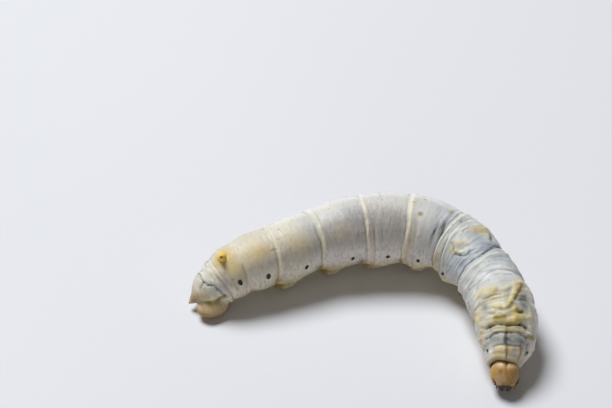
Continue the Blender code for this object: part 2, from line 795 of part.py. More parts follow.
def neck_cutter():
    """All that lies behind the front of the thorax, with the gap that the head keeps to it."""
    centre, along, up, right = frame_at(EDGES[-1])
    middle = Vector(centre) + Vector(along) * GAP
    reach = 6

    def make(bm):
        rings = []
        for back in (0, 8):
            corners = []
            for x, z in ((-1, -1), (1, -1), (1, 1), (-1, 1)):
                corner = middle - Vector(along) * back
                corners.append(corner + (Vector(right) * x + Vector(up) * z) * reach)
            rings.append(corners)
        loft(bm, rings)

    return new_object("neck", make)


def main():
    for obj in list(bpy.data.objects):
        bpy.data.objects.remove(obj)
    skin = plain_material("skin", (0.72, 0.70, 0.64), 0.55)
    foot = plain_material("foot", (0.66, 0.52, 0.30), 0.5)
    shell = plain_material("head shell", (0.42, 0.24, 0.08), 0.35)
    jaw = plain_material("jaw", (0.06, 0.03, 0.02), 0.3)
    horn = plain_material("horn", (0.75, 0.52, 0.16), 0.45)
    make_segments(skin)
    make_prolegs(foot)
    make_anal_prolegs(foot)
    make_thoracic_legs(shell)
    make_horn(horn)
    make_head(shell)
    make_mouthparts(shell, jaw)


main()
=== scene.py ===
"""The looks of the silkworm model: one wrinkled skin, with its head, horn, legs and breathing holes.

Lengths are in millimetres until a mesh is made, and angles are in degrees. A place on the body is given
by its segment, its distance along from that segment's rear edge, and an angle round the body that is 0 on
the middle of the back, positive to the larva's right, and 180 under the belly.
"""
import math
from collections import namedtuple

import bpy
import numpy as np
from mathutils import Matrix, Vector


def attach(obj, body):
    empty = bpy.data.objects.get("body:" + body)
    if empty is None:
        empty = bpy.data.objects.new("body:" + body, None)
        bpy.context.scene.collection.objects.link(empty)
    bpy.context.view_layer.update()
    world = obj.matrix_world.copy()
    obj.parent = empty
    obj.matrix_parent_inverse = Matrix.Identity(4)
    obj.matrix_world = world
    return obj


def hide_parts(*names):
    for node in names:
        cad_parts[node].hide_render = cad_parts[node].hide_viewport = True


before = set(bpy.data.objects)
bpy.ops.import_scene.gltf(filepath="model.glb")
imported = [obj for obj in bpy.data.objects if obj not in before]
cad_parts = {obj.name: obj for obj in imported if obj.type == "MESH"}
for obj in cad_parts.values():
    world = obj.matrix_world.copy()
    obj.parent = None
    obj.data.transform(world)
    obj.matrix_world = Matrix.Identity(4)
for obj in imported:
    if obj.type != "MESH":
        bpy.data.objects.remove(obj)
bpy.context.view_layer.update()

MM = 0.001
BODY = "root"
SIDES = ((1, "right"), (-1, "left"))


# Body plan, as in the solids

# A segment's length, the way it heads and drops at its middle, the lean of its rings, and its half sizes
# at its front edge. Drop and lean are positive where the front is lower.
Segment = namedtuple("Segment", "name length heading drop lean half_width half_height")

SEGMENTS = [
    Segment("abdomen_10", 3.4, 23, -24, -22, 3.1, 2.9),
    Segment("abdomen_9", 1.8, 26, -24, -20, 3.75, 3.6),
    Segment("abdomen_8", 3.4, 28, -18, -12, 4.2, 4.1),
    Segment("abdomen_7", 5.0, 22, -6, -4, 4.5, 4.45),
    Segment("abdomen_6", 7.8, 26, -4, -3, 4.85, 4.75),
    Segment("abdomen_5", 8.0, 14, -3, -3, 5.6, 5.45),
    Segment("abdomen_4", 7.0, 1, 0, 0, 5.7, 5.5),
    Segment("abdomen_3", 6.7, -20, 1, 1, 5.1, 5.0),
    Segment("abdomen_2", 8.0, -53, 3, 3, 4.5, 4.4),
    Segment("abdomen_1", 5.2, -73, 3, 4, 4.85, 4.7),
    Segment("thorax_3", 3.7, -77, 6, 12, 4.95, 4.8),
    Segment("thorax_2", 4.3, -88, 12, 22, 4.3, 4.1),
    Segment("thorax_1", 4.0, -94, 14, 28, 2.8, 2.7),
]
TAIL_TIP = (-25.75, 0.85, 2.0)
TAIL_HALF_WIDTH = 2.5
TAIL_HALF_HEIGHT = 2.0
TAIL_ROUNDING = 3.0
BELLY_FLATNESS = 0.9
LINE_STEP = 0.05
SWELL = 0.22

# A proleg's root is `along` in front of its segment's rear edge, and its sole `back` behind the root.
Proleg = namedtuple("Proleg", "segment along back")

PROLEGS = [
    Proleg("abdomen_3", 2.7, 1.0),
    Proleg("abdomen_4", 1.8, 0.7),
    Proleg("abdomen_5", 2.1, 0.0),
    Proleg("abdomen_6", 2.0, 0.6),
]
PROLEG_ROOT_OFFSET = 2.3
PROLEG_CREASE = 1.3
PROLEG_SOLE_OFFSET = 1.2
# Share of the way out, height, share of the way from sole to root, half length, half width
PROLEG_STEPS = (
    (0.00, 0.10, 0.00, 0.00, 0.00),
    (0.20, 0.10, 0.00, 0.46, 0.34),
    (0.31, 0.06, 0.00, 0.74, 0.54),
    (0.38, 0.00, 0.00, 0.90, 0.68),
    (0.45, 0.10, 0.02, 1.06, 0.84),
    (0.52, 0.32, 0.12, 1.18, 0.98),
    (0.60, 0.52, 0.30, 1.32, 1.12),
    (0.70, 0.82, 0.52, 1.52, 1.28),
    (0.82, 1.25, 0.78, 1.78, 1.50),
    (1.00, 1.95, 0.98, 2.02, 1.72),
)
# Each anal proleg's place along the body, offset and half length: the left one is drawn in and forward.
ANAL_PROLEGS = {1: (2.4, 2.5, 2.6), -1: (2.9, 2.05, 1.8)}
ANAL_HALF_WIDTH = 1.9
ANAL_HALF_HEIGHT = 1.9
TAIL_POINT = (-25.75, 0.8, 1.7)
TAIL_POINT_DIRECTION = (-0.80, -0.35, -0.45)
TAIL_POINT_RADIUS = 0.70
TAIL_POINT_LENGTH = 1.25

LegPlace = namedtuple("LegPlace", "segment along root_offset foot_offset forward root_height")

THORACIC_LEGS = [
    LegPlace("thorax_1", 2.3, 1.5, 1.1, 0.5, 2.6),
    LegPlace("thorax_2", 2.2, 2.1, 1.5, 0.4, 3.1),
    LegPlace("thorax_3", 1.9, 2.3, 1.8, 0.3, 3.3),
]
LEG_BOW = 0.25

HORN_ALONG = 1.4
HORN_LENGTH = 2.0
HORN_RADIUS = 0.75
HORN_DIRECTION = (-0.08, -0.67, 0.74)

HEAD_CENTRE = (21.03, -15.35, 2.85)
HEAD_HEADING = -93
HEAD_DROP = 50
HEAD_HALF_WIDTH = 2.2
HEAD_HALF_DEPTH = 2.0
HEAD_HALF_LENGTH = 2.25
CHEEK_FULLNESS = 0.62
MOUTH_RIM = 144
MOUTH_LEVEL = -HEAD_HALF_LENGTH * math.cos(math.radians(MOUTH_RIM))
EYES = ((111, 62), (117, 56), (124, 52), (131, 53), (136, 60), (125, 65))
EYE_RADIUS = 0.10

# Tilt turns a hole's long axis from upright toward the head.
Spot = namedtuple("Spot", "segment along angle half_length half_height tilt")

SPIRACLES = [
    Spot("abdomen_8", 1.85, 68, 0.34, 0.52, 0),
    Spot("abdomen_7", 3.2, 82, 0.35, 0.51, 8),
    Spot("abdomen_6", 4.15, 91, 0.29, 0.46, 25),
    Spot("abdomen_5", 5.0, 97, 0.24, 0.36, 35),
    Spot("abdomen_4", 3.7, 97, 0.24, 0.36, 60),
    Spot("abdomen_3", 3.6, 101, 0.26, 0.34, 0),
    Spot("abdomen_2", 4.5, 108, 0.26, 0.36, 0),
    Spot("abdomen_1", 2.6, 113, 0.26, 0.34, 0),
    Spot("thorax_1", 2.9, 61, 0.24, 0.11, 0),
]


# Relief and colour marks of the skin

# A hoop is a ridge, or a groove if its height is negative, along (angle, along) places round the body.
# It fades out past its first and last angle. One that starts at 0 or more runs alike down both flanks.
# Each row is places, height, width, paint and amount.
# A groove's darker paint is painted shade in its crease
HOOPS = {
    "abdomen_9": [
        (((0, 1.2), (40, 1.4), (75, 1.75), (115, 1.8)), -0.07, 0.14, "shade", 0.35),
        (((0, 0.7), (40, 0.9), (75, 1.25), (110, 1.4)), 0.06, 0.26, "cream", 0.25),
    ],
    "abdomen_8": [
        (((30, 0.75), (55, 0.85), (75, 1.2), (105, 1.3)), -0.06, 0.13, "tan", 0.6),
        (((0, 0.2), (40, 0.3), (75, 0.7), (115, 0.8)), 0.05, 0.28, "cream", 0.25),
    ],
    "abdomen_7": [
        (((36, -0.35), (52, -0.15), (70, -0.3), (82, -0.8), (125, -0.9)), -0.07, 0.14, "tan", 0.5),
        (((0, 0.35), (36, -0.05), (52, 0.15), (70, 0.0), (82, -0.45),
         (125, -0.5)), 0.07, 0.24, "cream", 0.45),
    ],
    "abdomen_6": [
        (((25, 0.1), (52, 0.0), (69, -0.1), (90, -0.3), (125, -0.4)), -0.10, 0.15, "olive", 0.5),
        (((0, 0.75), (18, 0.6), (52, 0.4), (90, 0.15), (130, 0.1)), 0.13, 0.30, "cream", 0.8),
    ],
    "abdomen_5": [
        (((18, -0.4), (30, -0.5), (60, -0.45), (95, -0.75), (130, -0.7)), -0.12, 0.16, "olive", 0.6),
        (((0, 0.25), (28, 0.25), (55, 0.15), (84, -0.2), (130, -0.2)), 0.14, 0.32, "cream", 0.8),
    ],
    "abdomen_4": [
        (((22, -0.35), (40, -0.3), (80, -0.4), (130, -0.5)), -0.10, 0.15, "shade", 0.6),
        (((0, 0.0), (30, 0.1), (60, 0.0), (100, -0.1), (130, -0.1)), 0.14, 0.28, "cream", 0.9),
        (((50, 0.75), (75, 0.7), (98, 0.55), (125, 0.5)), 0.06, 0.24, "tan", 0.4),
        (((55, 1.55), (80, 1.5), (125, 1.4)), 0.08, 0.20, "cream", 0.5),
        (((45, 1.15), (90, 1.05), (125, 1.0)), -0.06, 0.12, "shade", 0.5),
        (((10, 2.8), (25, 2.7), (54, 2.5), (80, 2.25)), -0.04, 0.11, "shade", 0.45),
    ],
    "abdomen_3": [
        (((20, -0.1), (50, 0.0), (90, -0.6), (130, -0.7)), -0.10, 0.16, "shade", 0.5),
        (((0, 0.5), (34, 0.6), (55, 0.5), (84, 0.05), (130, 0.0)), 0.18, 0.36, "cream", 1.0),
        (((52, 1.2), (66, 1.15), (90, 0.8), (125, 0.7)), 0.06, 0.50, "tan", 0.8),
        (((25, 1.8), (50, 2.05), (110, 2.1)), -0.07, 0.13, "shade", 0.6),
        (((20, 2.6), (45, 2.5), (85, 3.0)), 0.04, 0.30, "cream", 0.3),
    ],
    "abdomen_2": [
        (((0, 0.6), (60, 0.5), (130, 0.6)), -0.10, 0.20, "slate", 0.35),
        (((0, 1.15), (20, 1.15), (44, 1.05), (76, 1.15), (130, 1.2)), 0.16, 0.22, "cream", 1.0),
        (((56, 1.55), (76, 1.65), (125, 1.7)), 0.12, 0.46, "cream", 0.8),
        (((8, 2.1), (29, 2.0), (41, 2.25), (60, 2.65), (84, 3.05), (120, 3.1)), -0.09, 0.12, "slate", 0.5),
        (((8, 2.45), (29, 2.4), (41, 2.65), (60, 3.1), (84, 3.6), (120, 3.7)), 0.10, 0.28, "cream", 0.6),
        (((45, 3.1), (60, 3.5), (84, 4.0), (110, 4.2)), -0.06, 0.13, "tan", 0.5),
    ],
    "abdomen_1": [
        (((-115, -0.4), (-47, -0.6), (-30, -0.4), (-8, 0.25), (13, 0.75), (43, 1.0), (56, 1.3),
         (115, 1.2)), -0.14, 0.22, "slate", 1.1),
        (((-115, 0.9), (-36, 0.95), (-15, 1.2), (3, 1.5), (20, 1.95), (34, 2.15), (65, 2.5),
         (115, 2.6)), 0.14, 0.22, "cream", 0.75),
        (((-60, 1.6), (-20, 1.9), (5, 2.3), (35, 2.8), (60, 3.2), (110, 3.3)), -0.05, 0.16, "blue", 0.35),
        (((10, 3.0), (30, 3.5), (50, 4.1), (63, 4.4), (110, 4.5)), 0.09, 0.22, "cream", 0.4),
        (((18, 3.3), (35, 3.9), (50, 4.5), (63, 4.8)), -0.05, 0.13, "slate", 0.3),
    ],
    "thorax_3": [
        (((-100, 0.0), (-60, -0.2), (28, -0.4), (40, 0.15), (50, 1.35),
         (110, 1.6)), -0.10, 0.18, "slate", 0.35),
    ],
    "thorax_2": [
        (((-110, -0.2), (-30, 0.2), (20, 0.3), (110, -0.3)), -0.06, 0.20, "shade", 0.25),
    ],
}

# A line is the same along a free path of (along, angle) places.
LINES = {
    "abdomen_10": [
        (((2.7, -30), (2.75, -10), (2.7, 2), (2.8, 14), (3.1, 32)), -0.16, 0.15, "slate", 1.0),
        (((2.7, 15), (2.2, 21), (1.85, 25)), -0.12, 0.15, "slate", 0.9),
    ],
    "abdomen_2": [
        (((3.0, 11), (3.05, -2)), 0.08, 0.18, "cream", 0.7),
        (((3.35, 11), (3.4, -3)), -0.08, 0.13, "slate", 0.6),
        (((3.3, 41), (3.8, 40), (4.4, 44), (5.0, 48)), -0.10, 0.15, "olive", 0.6),
        (((4.1, 49), (4.9, 53)), 0.06, 0.22, "yellow", 0.9),
        (((5.2, 45), (6.0, 41), (6.4, 34), (6.2, 28)), 0.15, 0.28, "cream", 0.9),
        (((5.5, 50), (6.3, 46), (6.8, 42), (7.2, 36), (7.35, 32), (6.9, 26)), -0.18, 0.18, "dark", 0.75),
        (((4.2, -4), (4.1, -16), (4.0, -30), (4.1, -48), (4.4, -58)), 0.12, 0.52, "tan", 0.8),
        (((4.4, -22), (4.5, -38), (4.5, -50)), 0.0, 0.50, "yellow", 0.7),
        (((5.2, -43), (6.0, -35), (6.6, -28)), -0.20, 0.26, "dark", 0.9),
    ],
    "thorax_3": [
        (((1.5, -32), (2.2, -27), (2.9, -19), (3.5, -13), (4.4, -5),
         (4.9, -1)), 0.26, 0.44, "yellow", 0.95),
        (((2.0, -27), (2.5, -22)), 0.0, 0.42, "orange", 0.8),
        (((2.3, -31), (3.1, -23), (3.9, -15)), -0.16, 0.20, "olive", 0.7),
        (((2.9, -9), (3.7, -3), (4.3, 2)), -0.10, 0.24, "grey", 0.4),
        (((1.5, -43), (1.4, -38)), 0.20, 0.40, "cream", 0.9),
        (((2.0, 20), (2.2, 10), (2.4, 0), (2.1, -14), (1.7, -28)), 0.10, 0.26, "yellow", 0.4),
        (((2.7, 12), (2.9, 0), (2.6, -12)), -0.10, 0.22, "shade", 0.35),
        (((2.3, 50), (1.9, 40), (1.75, 30), (1.95, 22), (2.2, 15)), 0.15, 0.34, "yellow", 0.75),
        (((2.6, 32), (2.65, 27), (2.6, 22)), 0.12, 0.45, "ochre", 0.7),
        (((2.5, 18), (2.8, 10), (2.95, 4)), 0.08, 0.26, "yellow", 0.7),
        (((3.05, 40), (3.15, 30), (3.1, 20), (3.2, 8)), -0.12, 0.18, "olive", 0.45),
        (((3.6, 30), (3.4, 24), (3.4, 16), (3.5, 6)), 0.14, 0.28, "yellow", 0.45),
        (((2.2, -50), (2.7, -60), (2.9, -72)), 0.14, 0.40, "cream", 0.6),
        (((1.2, 52), (2.2, 62), (2.6, 78)), 0.14, 0.40, "cream", 0.6),
        (((3.1, 50), (4.2, 57), (5.0, 66), (6.2, 63)), 0.18, 0.42, "yellow", 0.6),
        (((3.0, -52), (4.2, -58), (5.0, -66), (6.2, -63)), 0.14, 0.36, "cream", 0.6),
        (((3.4, -40), (4.3, -44), (4.8, -50)), -0.12, 0.26, "slate", 0.5),
    ],
    "thorax_2": [
        (((0.8, -3), (1.25, 1), (1.35, 8), (1.15, 18), (0.9, 24)), 0.20, 0.34, "yellow", 0.7),
        (((1.6, 0), (1.75, 6), (1.6, 11)), -0.12, 0.20, "olive", 0.5),
        (((0.5, 36), (0.9, 28), (0.9, 18)), 0.10, 0.40, "cream", 0.6),
        (((1.4, 46), (1.5, 36), (1.7, 26)), 0.12, 0.32, "cream", 0.6),
        (((1.95, 33), (2.05, 28), (2.1, 24)), -0.12, 0.17, "olive", 0.6),
        (((2.1, 17), (2.1, 8), (1.95, 0), (1.9, -8)), 0.14, 0.30, "yellow", 0.5),
        (((1.5, -12), (1.6, -22), (1.8, -32)), 0.12, 0.34, "cream", 0.6),
        (((2.0, -15), (2.02, -17)), -0.08, 0.20, "olive", 0.7),
        (((2.03, -19), (2.03, -22), (1.95, -27)), -0.16, 0.16, "olive", 1.0),
        (((2.03, -21), (2.0, -26)), -0.04, 0.13, "ink", 0.45),
        (((1.6, -11), (2.3, -12), (3.2, -12)), 0.16, 0.42, "gold", 0.75),
        (((2.5, 38), (2.45, 26), (2.55, 14), (2.4, 0)), 0.12, 0.28, "cream", 0.6),
        (((2.6, -18), (2.7, -28), (2.6, -38)), 0.14, 0.30, "yellow", 0.8),
        (((2.85, 20), (2.9, 15), (2.85, 10)), -0.10, 0.38, "olive", 1.5),
        (((3.15, 32), (3.2, 24), (3.2, 10), (3.25, 0), (3.2, -12), (3.1, -22)), 0.20, 0.42, "yellow", 0.8),
        (((3.1, -6), (3.1, -12), (3.1, -18)), 0.0, 0.34, "olive", 0.35),
        (((3.8, 38), (3.7, 18), (3.8, 2), (3.75, -10), (3.6, -24)), -0.22, 0.20, "olive", 0.95),
        (((3.6, -24), (3.65, -31), (3.9, -40)), -0.24, 0.19, "ink", 0.75),
        (((4.1, 47), (3.9, 42), (3.8, 37)), -0.22, 0.18, "ink", 0.45),
        (((2.3, 48), (3.2, 50), (4.0, 58)), 0.16, 0.42, "yellow", 0.45),
        (((1.0, -42), (2.2, -44), (3.2, -42), (4.0, -50)), 0.14, 0.40, "cream", 0.6),
        (((4.25, 30), (4.25, 12), (4.25, -10), (4.25, -28)), 0.0, 0.34, "olive", 0.45),
        (((1.1, -3), (1.1, -14), (1.2, -26)), 0.0, 0.36, "slate", 0.45),
    ],
    "thorax_1": [
        (((0.15, 36), (0.1, 18), (0.1, 0), (0.0, -18), (0.1, -32)), 0.12, 0.34, "tan", 0.45),
        (((0.2, 10), (0.2, -14)), 0.0, 0.34, "yellow", 0.6),
        (((1.25, 48), (1.15, 37), (0.7, 29), (0.55, 16), (0.6, 2), (0.5, -20), (0.75, -30),
         (1.0, -41)), -0.18, 0.17, "ink", 0.6),
        (((0.75, -46), (0.6, -56), (0.55, -66)), -0.10, 0.28, "olive", 1.2),
        (((0.75, -47), (0.6, -56)), 0.0, 0.20, "brown", 0.4),
        (((0.3, -44), (0.4, -54), (0.4, -64)), 0.16, 0.34, "cream", 0.7),
        (((0.0, 60), (0.65, 65), (1.3, 72), (2.0, 66)), 0.18, 0.44, "tan", 0.9),
        (((1.3, 42), (1.4, 28), (1.4, 5)), 0.06, 0.66, "grey", 0.55),
        (((1.5, 0), (1.5, -16), (1.5, -30)), 0.06, 0.70, "grey", 1.0),
        (((0.6, 3), (1.4, 3), (2.2, 3)), -0.13, 0.25, "ink", 0.9),
        (((-0.2, 3), (0.2, 3), (0.6, 3)), -0.06, 0.18, "slate", 0.5),
        (((2.6, 34), (2.4, 21), (2.35, 11), (2.4, 1), (2.45, -13), (2.3, -30)), -0.14, 0.16, "ink", 0.6),
        (((3.0, 30), (2.95, 18), (2.95, 8)), 0.14, 0.45, "sand", 1.0),
        (((3.6, 34), (3.6, 20), (3.6, 8)), 0.10, 0.45, "sand", 1.0),
        (((2.9, -5), (2.9, -18), (2.8, -31)), 0.14, 0.45, "tan", 0.6),
        (((3.5, -6), (3.5, -18), (3.4, -31)), 0.10, 0.45, "tan", 0.6),
        (((3.2, -6), (3.2, -18), (3.1, -31)), 0.0, 0.60, "grey", 0.25),
        (((2.7, 1), (3.3, 1), (4.0, 1)), -0.14, 0.20, "olive", 0.9),
        (((2.7, -36), (3.2, -38), (3.8, -38)), -0.12, 0.20, "brown", 0.35),
        (((2.7, 36), (3.2, 38), (3.8, 38)), -0.10, 0.16, "shade", 0.3),
        (((2.1, 50), (2.2, 54), (2.3, 58)), -0.12, 0.16, "slate", 0.8),
        (((1.7, -50), (2.4, -54), (3.0, -56)), -0.14, 0.20, "slate", 0.7),
        (((3.0, -48), (3.5, -56), (3.9, -66)), 0.14, 0.34, "yellow", 0.35),
        (((4.0, -30), (3.95, -48), (3.9, -70)), 0.0, 0.34, "olive", 0.5),
        (((2.0, -62), (2.8, -66), (3.4, -68)), 0.16, 0.34, "cream", 0.7),
    ],
}

# These run down both sides of the tail.
PAIRED_LINES = {
    "abdomen_9": [
        (((-0.3, 32), (0.35, 42), (0.55, 56), (0.75, 72), (1.0, 86)), -0.17, 0.16, "slate", 1.0),
        (((0.2, 20), (0.5, 34), (0.4, 48)), 0.09, 0.20, "cream", 0.6),
        (((1.0, 8), (0.8, 22), (1.0, 34)), -0.06, 0.12, "shade", 0.4),
        (((1.35, 24), (1.5, 42), (1.7, 62)), -0.10, 0.14, "brown", 0.30),
    ],
    "abdomen_10": [
        (((0.1, 30), (0.5, 46), (1.1, 57), (1.9, 62)), 0.05, 0.30, "tan", 0.8),
        (((0.3, 44), (0.7, 60), (1.3, 67), (2.0, 71), (2.6, 77), (3.2, 82)), 0.14, 0.24, "cream", 0.9),
        (((0.8, 76), (1.6, 80), (2.4, 85), (3.1, 88), (4.2, 86)), -0.22, 0.19, "olive", 1.1),
        (((1.2, 14), (1.4, 28), (1.3, 42)), 0.10, 0.22, "cream", 0.7),
        (((3.1, 85), (4.0, 84), (4.5, 82)), -0.12, 0.24, "olive", 0.7),
        (((0.3, 48), (0.7, 50), (1.1, 52)), 0.0, 0.5, "tan", 0.8),
    ],
    "abdomen_8": [
        (((0.15, 26), (0.3, 44), (0.6, 65)), -0.10, 0.15, "brown", 0.30),
        (((3.3, 38), (3.05, 62), (2.7, 92)), -0.10, 0.16, "brown", 0.35),
    ],
}

# A patch is a soft-edged spot of paint.
# Each row is along, angle, length, width, paint and amount, and the height it is raised by if that isn't 0.
# The bluish patches are mostly painted shade by the folds between segments
# The patches that lighten the skin are painted highlights, save those on the ninth segment, whose skin is
# paler
PATCHES = {
    "abdomen_8": [
        (1.4, 0, 1.25, 1.15, "gold", 1.2, 0.16),
        (2.0, 28, 1.5, 2.2, "ochre", 1.0),
        (2.2, -28, 1.2, 1.9, "ochre", 0.5),
        (2.8, 48, 0.9, 1.4, "tan", 0.5),
    ],
    "abdomen_7": [
        (2.2, 27, 2.2, 2.2, "ochre", 0.9),
        (3.6, 30, 1.1, 1.1, "orange", 0.55),
        (2.6, -26, 1.6, 1.6, "ochre", 0.4),
        # Painted shade in the recess behind a proleg
        (4.6, 108, 0.7, 1.2, "amber", 1.0),
    ],
    "abdomen_6": [
        (3.4, 38, 2.4, 2.2, "ochre", 0.60),
        (4.5, 43, 0.25, 0.9, "tan", 0.5),
        (3.6, -17, 2.4, 1.4, "cream", 0.4),
        (2.0, 12, 1.8, 1.3, "ivory", 0.8),
        (6.3, 16, 1.4, 1.5, "blue", 0.4),
        # Painted shade in the recess behind a proleg
        (6.7, 115, 0.7, 1.1, "brown", 1.0),
    ],
    "abdomen_5": [
        (3.4, 40, 2.2, 1.9, "ochre", 0.25),
        (2.4, -16, 2.4, 1.4, "cream", 0.4),
        (3.6, 16, 2.2, 1.4, "cool", 0.45),
        (6.2, 14, 1.5, 1.6, "blue", 0.35),
        # Painted shade in the recess behind a proleg
        (6.6, 114, 0.8, 1.1, "brown", 1.0),
    ],
    "abdomen_4": [
        (5.4, 38, 2.0, 2.6, "shade", 0.35),
        # Painted shade in the recess behind a proleg
        (6.7, 114, 0.8, 1.1, "amber", 0.9),
    ],
    "abdomen_3": [
        (3.6, 62, 1.4, 2.0, "shade", 0.2),
        (2.2, 17.5, 0.30, 0.32, "olive", 2.2, -0.04),
        (2.2, -17.5, 0.22, 0.24, "brown", 0.8, -0.04),
        (5.7, 38, 0.26, 1.6, "dark", 0.95, -0.09),
        (5.95, 52, 0.22, 1.2, "dark", 0.6, -0.05),
        (6.4, -14, 0.28, 0.9, "olive", 0.6, -0.06),
        (6.0, 10, 1.4, 3.2, "blue", 0.85),
        (6.3, 34, 1.0, 2.6, "blue", 0.7),
        (5.8, 2, 0.7, 1.4, "white", 0.5),
    ],
    "abdomen_10": [
        (0.1, 60, 1.2, 1.6, "bronze", 0.9),
        (0.1, -60, 1.2, 1.6, "bronze", 0.9),
        (0.3, 88, 0.9, 1.5, "bronze", 0.85),
        (2.0, 50, 1.2, 1.3, "ochre", 0.5),
        (2.9, 34, 0.7, 1.1, "cool", 0.7),
    ],
    "abdomen_9": [
        (0.6, 10, 1.0, 3.0, "cream", 0.6),
        (0.45, -12, 0.5, 1.3, "white", 0.8),
        (1.4, -10, 0.5, 1.3, "white", 0.7),
    ],
    "abdomen_2": [
        (0.1, 24, 0.34, 1.1, "dark", 1.4, -0.09),
        (0.45, 37, 0.28, 1.1, "dark", 1.2, -0.08),
        (1.8, -4, 0.22, 0.3, "slate", 0.9, -0.04),
        (2.2, -20, 0.9, 2.5, "blue", 0.4),
        (5.6, 0, 1.6, 2.2, "blue", 0.35),
        (7.3, -6, 0.8, 2.8, "blue", 1.2),
        (7.0, 22, 0.7, 1.8, "blue", 0.9),
        (4.5, 31, 0.80, 0.85, "tan", 0.7, 0.18),
        (5.2, 19, 0.75, 0.60, "cream", 0.8, 0.14),
        (4.9, 36, 0.80, 0.90, "cream", 0.5, 0.06),
        (4.5, -32, 1.1, 2.0, "tan", 0.75, 0.08),
        (1.6, 92, 1.1, 2.0, "tan", 0.8),
        (6.9, 24, 0.6, 1.4, "white", 0.5),
        (1.8, 32, 0.6, 1.4, "white", 0.5),
    ],
    "abdomen_1": [
        (0.0, 42, 0.9, 2.4, "blue", 0.85),
        (2.2, -30, 0.8, 2.2, "blue", 0.35),
        (2.9, 14, 0.7, 1.4, "cool", 0.7),
        (4.2, -10, 0.9, 1.8, "white", 0.8),
        (5.0, -24, 0.6, 1.2, "white", 0.9),
        (4.7, 22, 0.6, 1.6, "white", 0.7),
    ],
    "thorax_2": [
        (0.45, -33, 1.2, 0.95, "grey", 1.3, -0.14),
        (0.9, 41, 1.0, 0.75, "grey", 0.8, -0.10),
        (2.0, 62, 0.9, 1.0, "sand", 0.8),
        (2.6, 0, 1.2, 3.0, "yellow", 0.40),
        (0.4, 18, 0.9, 1.2, "cream", 0.8, 0.10),
        (3.2, 52, 1.6, 0.6, "yellow", 0.5),
    ],
    "thorax_1": [
        (1.2, 66, 0.4, 0.6, "peach", 0.7),
        (2.9, 46, 0.9, 0.9, "white", 1.1),
        (3.8, 30, 0.35, 1.5, "gold", 0.45),
        (2.6, -32, 0.24, 0.3, "amber", 0.8),
        (2.9, 61, 0.42, 0.34, "slate", 0.7, -0.04),
        (2.9, -61, 0.42, 0.34, "slate", 0.7, -0.04),
    ],
    "thorax_3": [
        (2.6, 58, 1.1, 1.3, "white", 0.9),
        (1.9, 34, 0.7, 0.8, "cream", 0.6),
        (2.9, 20, 1.5, 2.6, "yellow", 0.30),
        (3.0, -40, 1.5, 1.6, "cream", 0.5),
    ],
}

# A lobe is a soft pad, or a hollow if its height is negative, with its size along the body and round it.
# It lies on the right side for a side of 1, on the left for -1, and on both for 0.
# Each row is along, angle, length, width, height and side.
LOBES = {
    "abdomen_9": [
        (0.8, 128, 1.0, 1.0, 0.50, 0),
    ],
    "abdomen_8": [
        (1.6, 128, 1.1, 1.2, 0.10, 0),
    ],
    "abdomen_7": [
        (2.4, 126, 1.6, 1.3, 0.25, 0),
    ],
    "abdomen_6": [
        (2.6, 128, 2.0, 1.3, 0.30, 0),
    ],
    "abdomen_5": [
        (2.6, 128, 2.2, 1.4, 0.30, 0),
    ],
    "abdomen_4": [
        (2.4, 126, 2.0, 1.4, 0.50, 0),
    ],
    "abdomen_3": [
        (3.0, 124, 2.1, 1.4, 0.70, 0),
    ],
    "abdomen_2": [
        (4.3, 122, 2.0, 1.3, 0.40, 0),
        (5.0, 124, 2.2, 1.6, 0.65, 1),
    ],
    "abdomen_1": [
        (2.6, 120, 1.5, 1.3, 0.35, -1),
        (3.8, 112, 1.4, 1.6, -0.25, 1),
    ],
    "thorax_3": [
        (1.9, 110, 1.1, 1.3, 0.22, -1),
    ],
    "thorax_2": [
        (2.6, 100, 1.1, 1.3, 0.25, -1),
        (0.4, 98, 3.4, 2.6, -0.90, 1),
    ],
    "thorax_1": [
        (0.4, 80, 0.8, 1.0, 0.30, -1),
        (2.0, 96, 1.0, 1.1, 0.40, -1),
        (2.2, 92, 0.9, 1.5, -0.65, 1),
    ],
}

# Paints of the skin, as red, green and blue of 0 to 255 seen in even light
PAINTS = {
    # Painted shade: a grey-lilac band that darkens the upper flanks
    "flank": (160, 153, 149),
    # Painted light: the low flanks made paler, as light from the floor would make them
    "low": (226, 219, 215),
    "ivory": (226, 219, 194),
    "cool": (190, 201, 207),
    # Yellowish underside, partly painted glow of light through the thin skin
    "belly": (212, 196, 152),
    # Bluish grey, mostly painted shade in and beside the folds between segments
    "blue": (140, 152, 167),
    "ochre": (216, 197, 146),
    "cream": (238, 231, 206),
    # Painted highlights on the middle and front segments and the thorax, and the paler skin of the ninth
    # segment
    "white": (240, 242, 242),
    "sand": (236, 216, 170),
    "grey": (124, 130, 127),
    "shade": (122, 118, 114),
    "tan": (206, 186, 144),
    "yellow": (214, 200, 132),
    "orange": (206, 174, 128),
    "peach": (212, 178, 118),
    "gold": (214, 180, 88),
    "bronze": (170, 138, 92),
    "olive": (152, 136, 56),
    "amber": (160, 122, 30),
    "slate": (92, 102, 108),
    "brown": (118, 92, 46),
    "dark": (56, 58, 46),
    "ink": (62, 64, 46),
}

# Paints that break into streaks round the body
STREAKED = ("blue", "slate", "dark", "shade")

# The skin's grid, how softly a hoop fades at its ends, how far from its path it is worked out, how much
# steeper its rear is than its front, and the pieces between two places of a line
ROWS = 486
COLUMNS = 200
HOOP_FADE = 7
HOOP_MARGIN = 1.2
HOOP_LEAN = 1.4
PATH_STEPS = 5


# Curves and frames

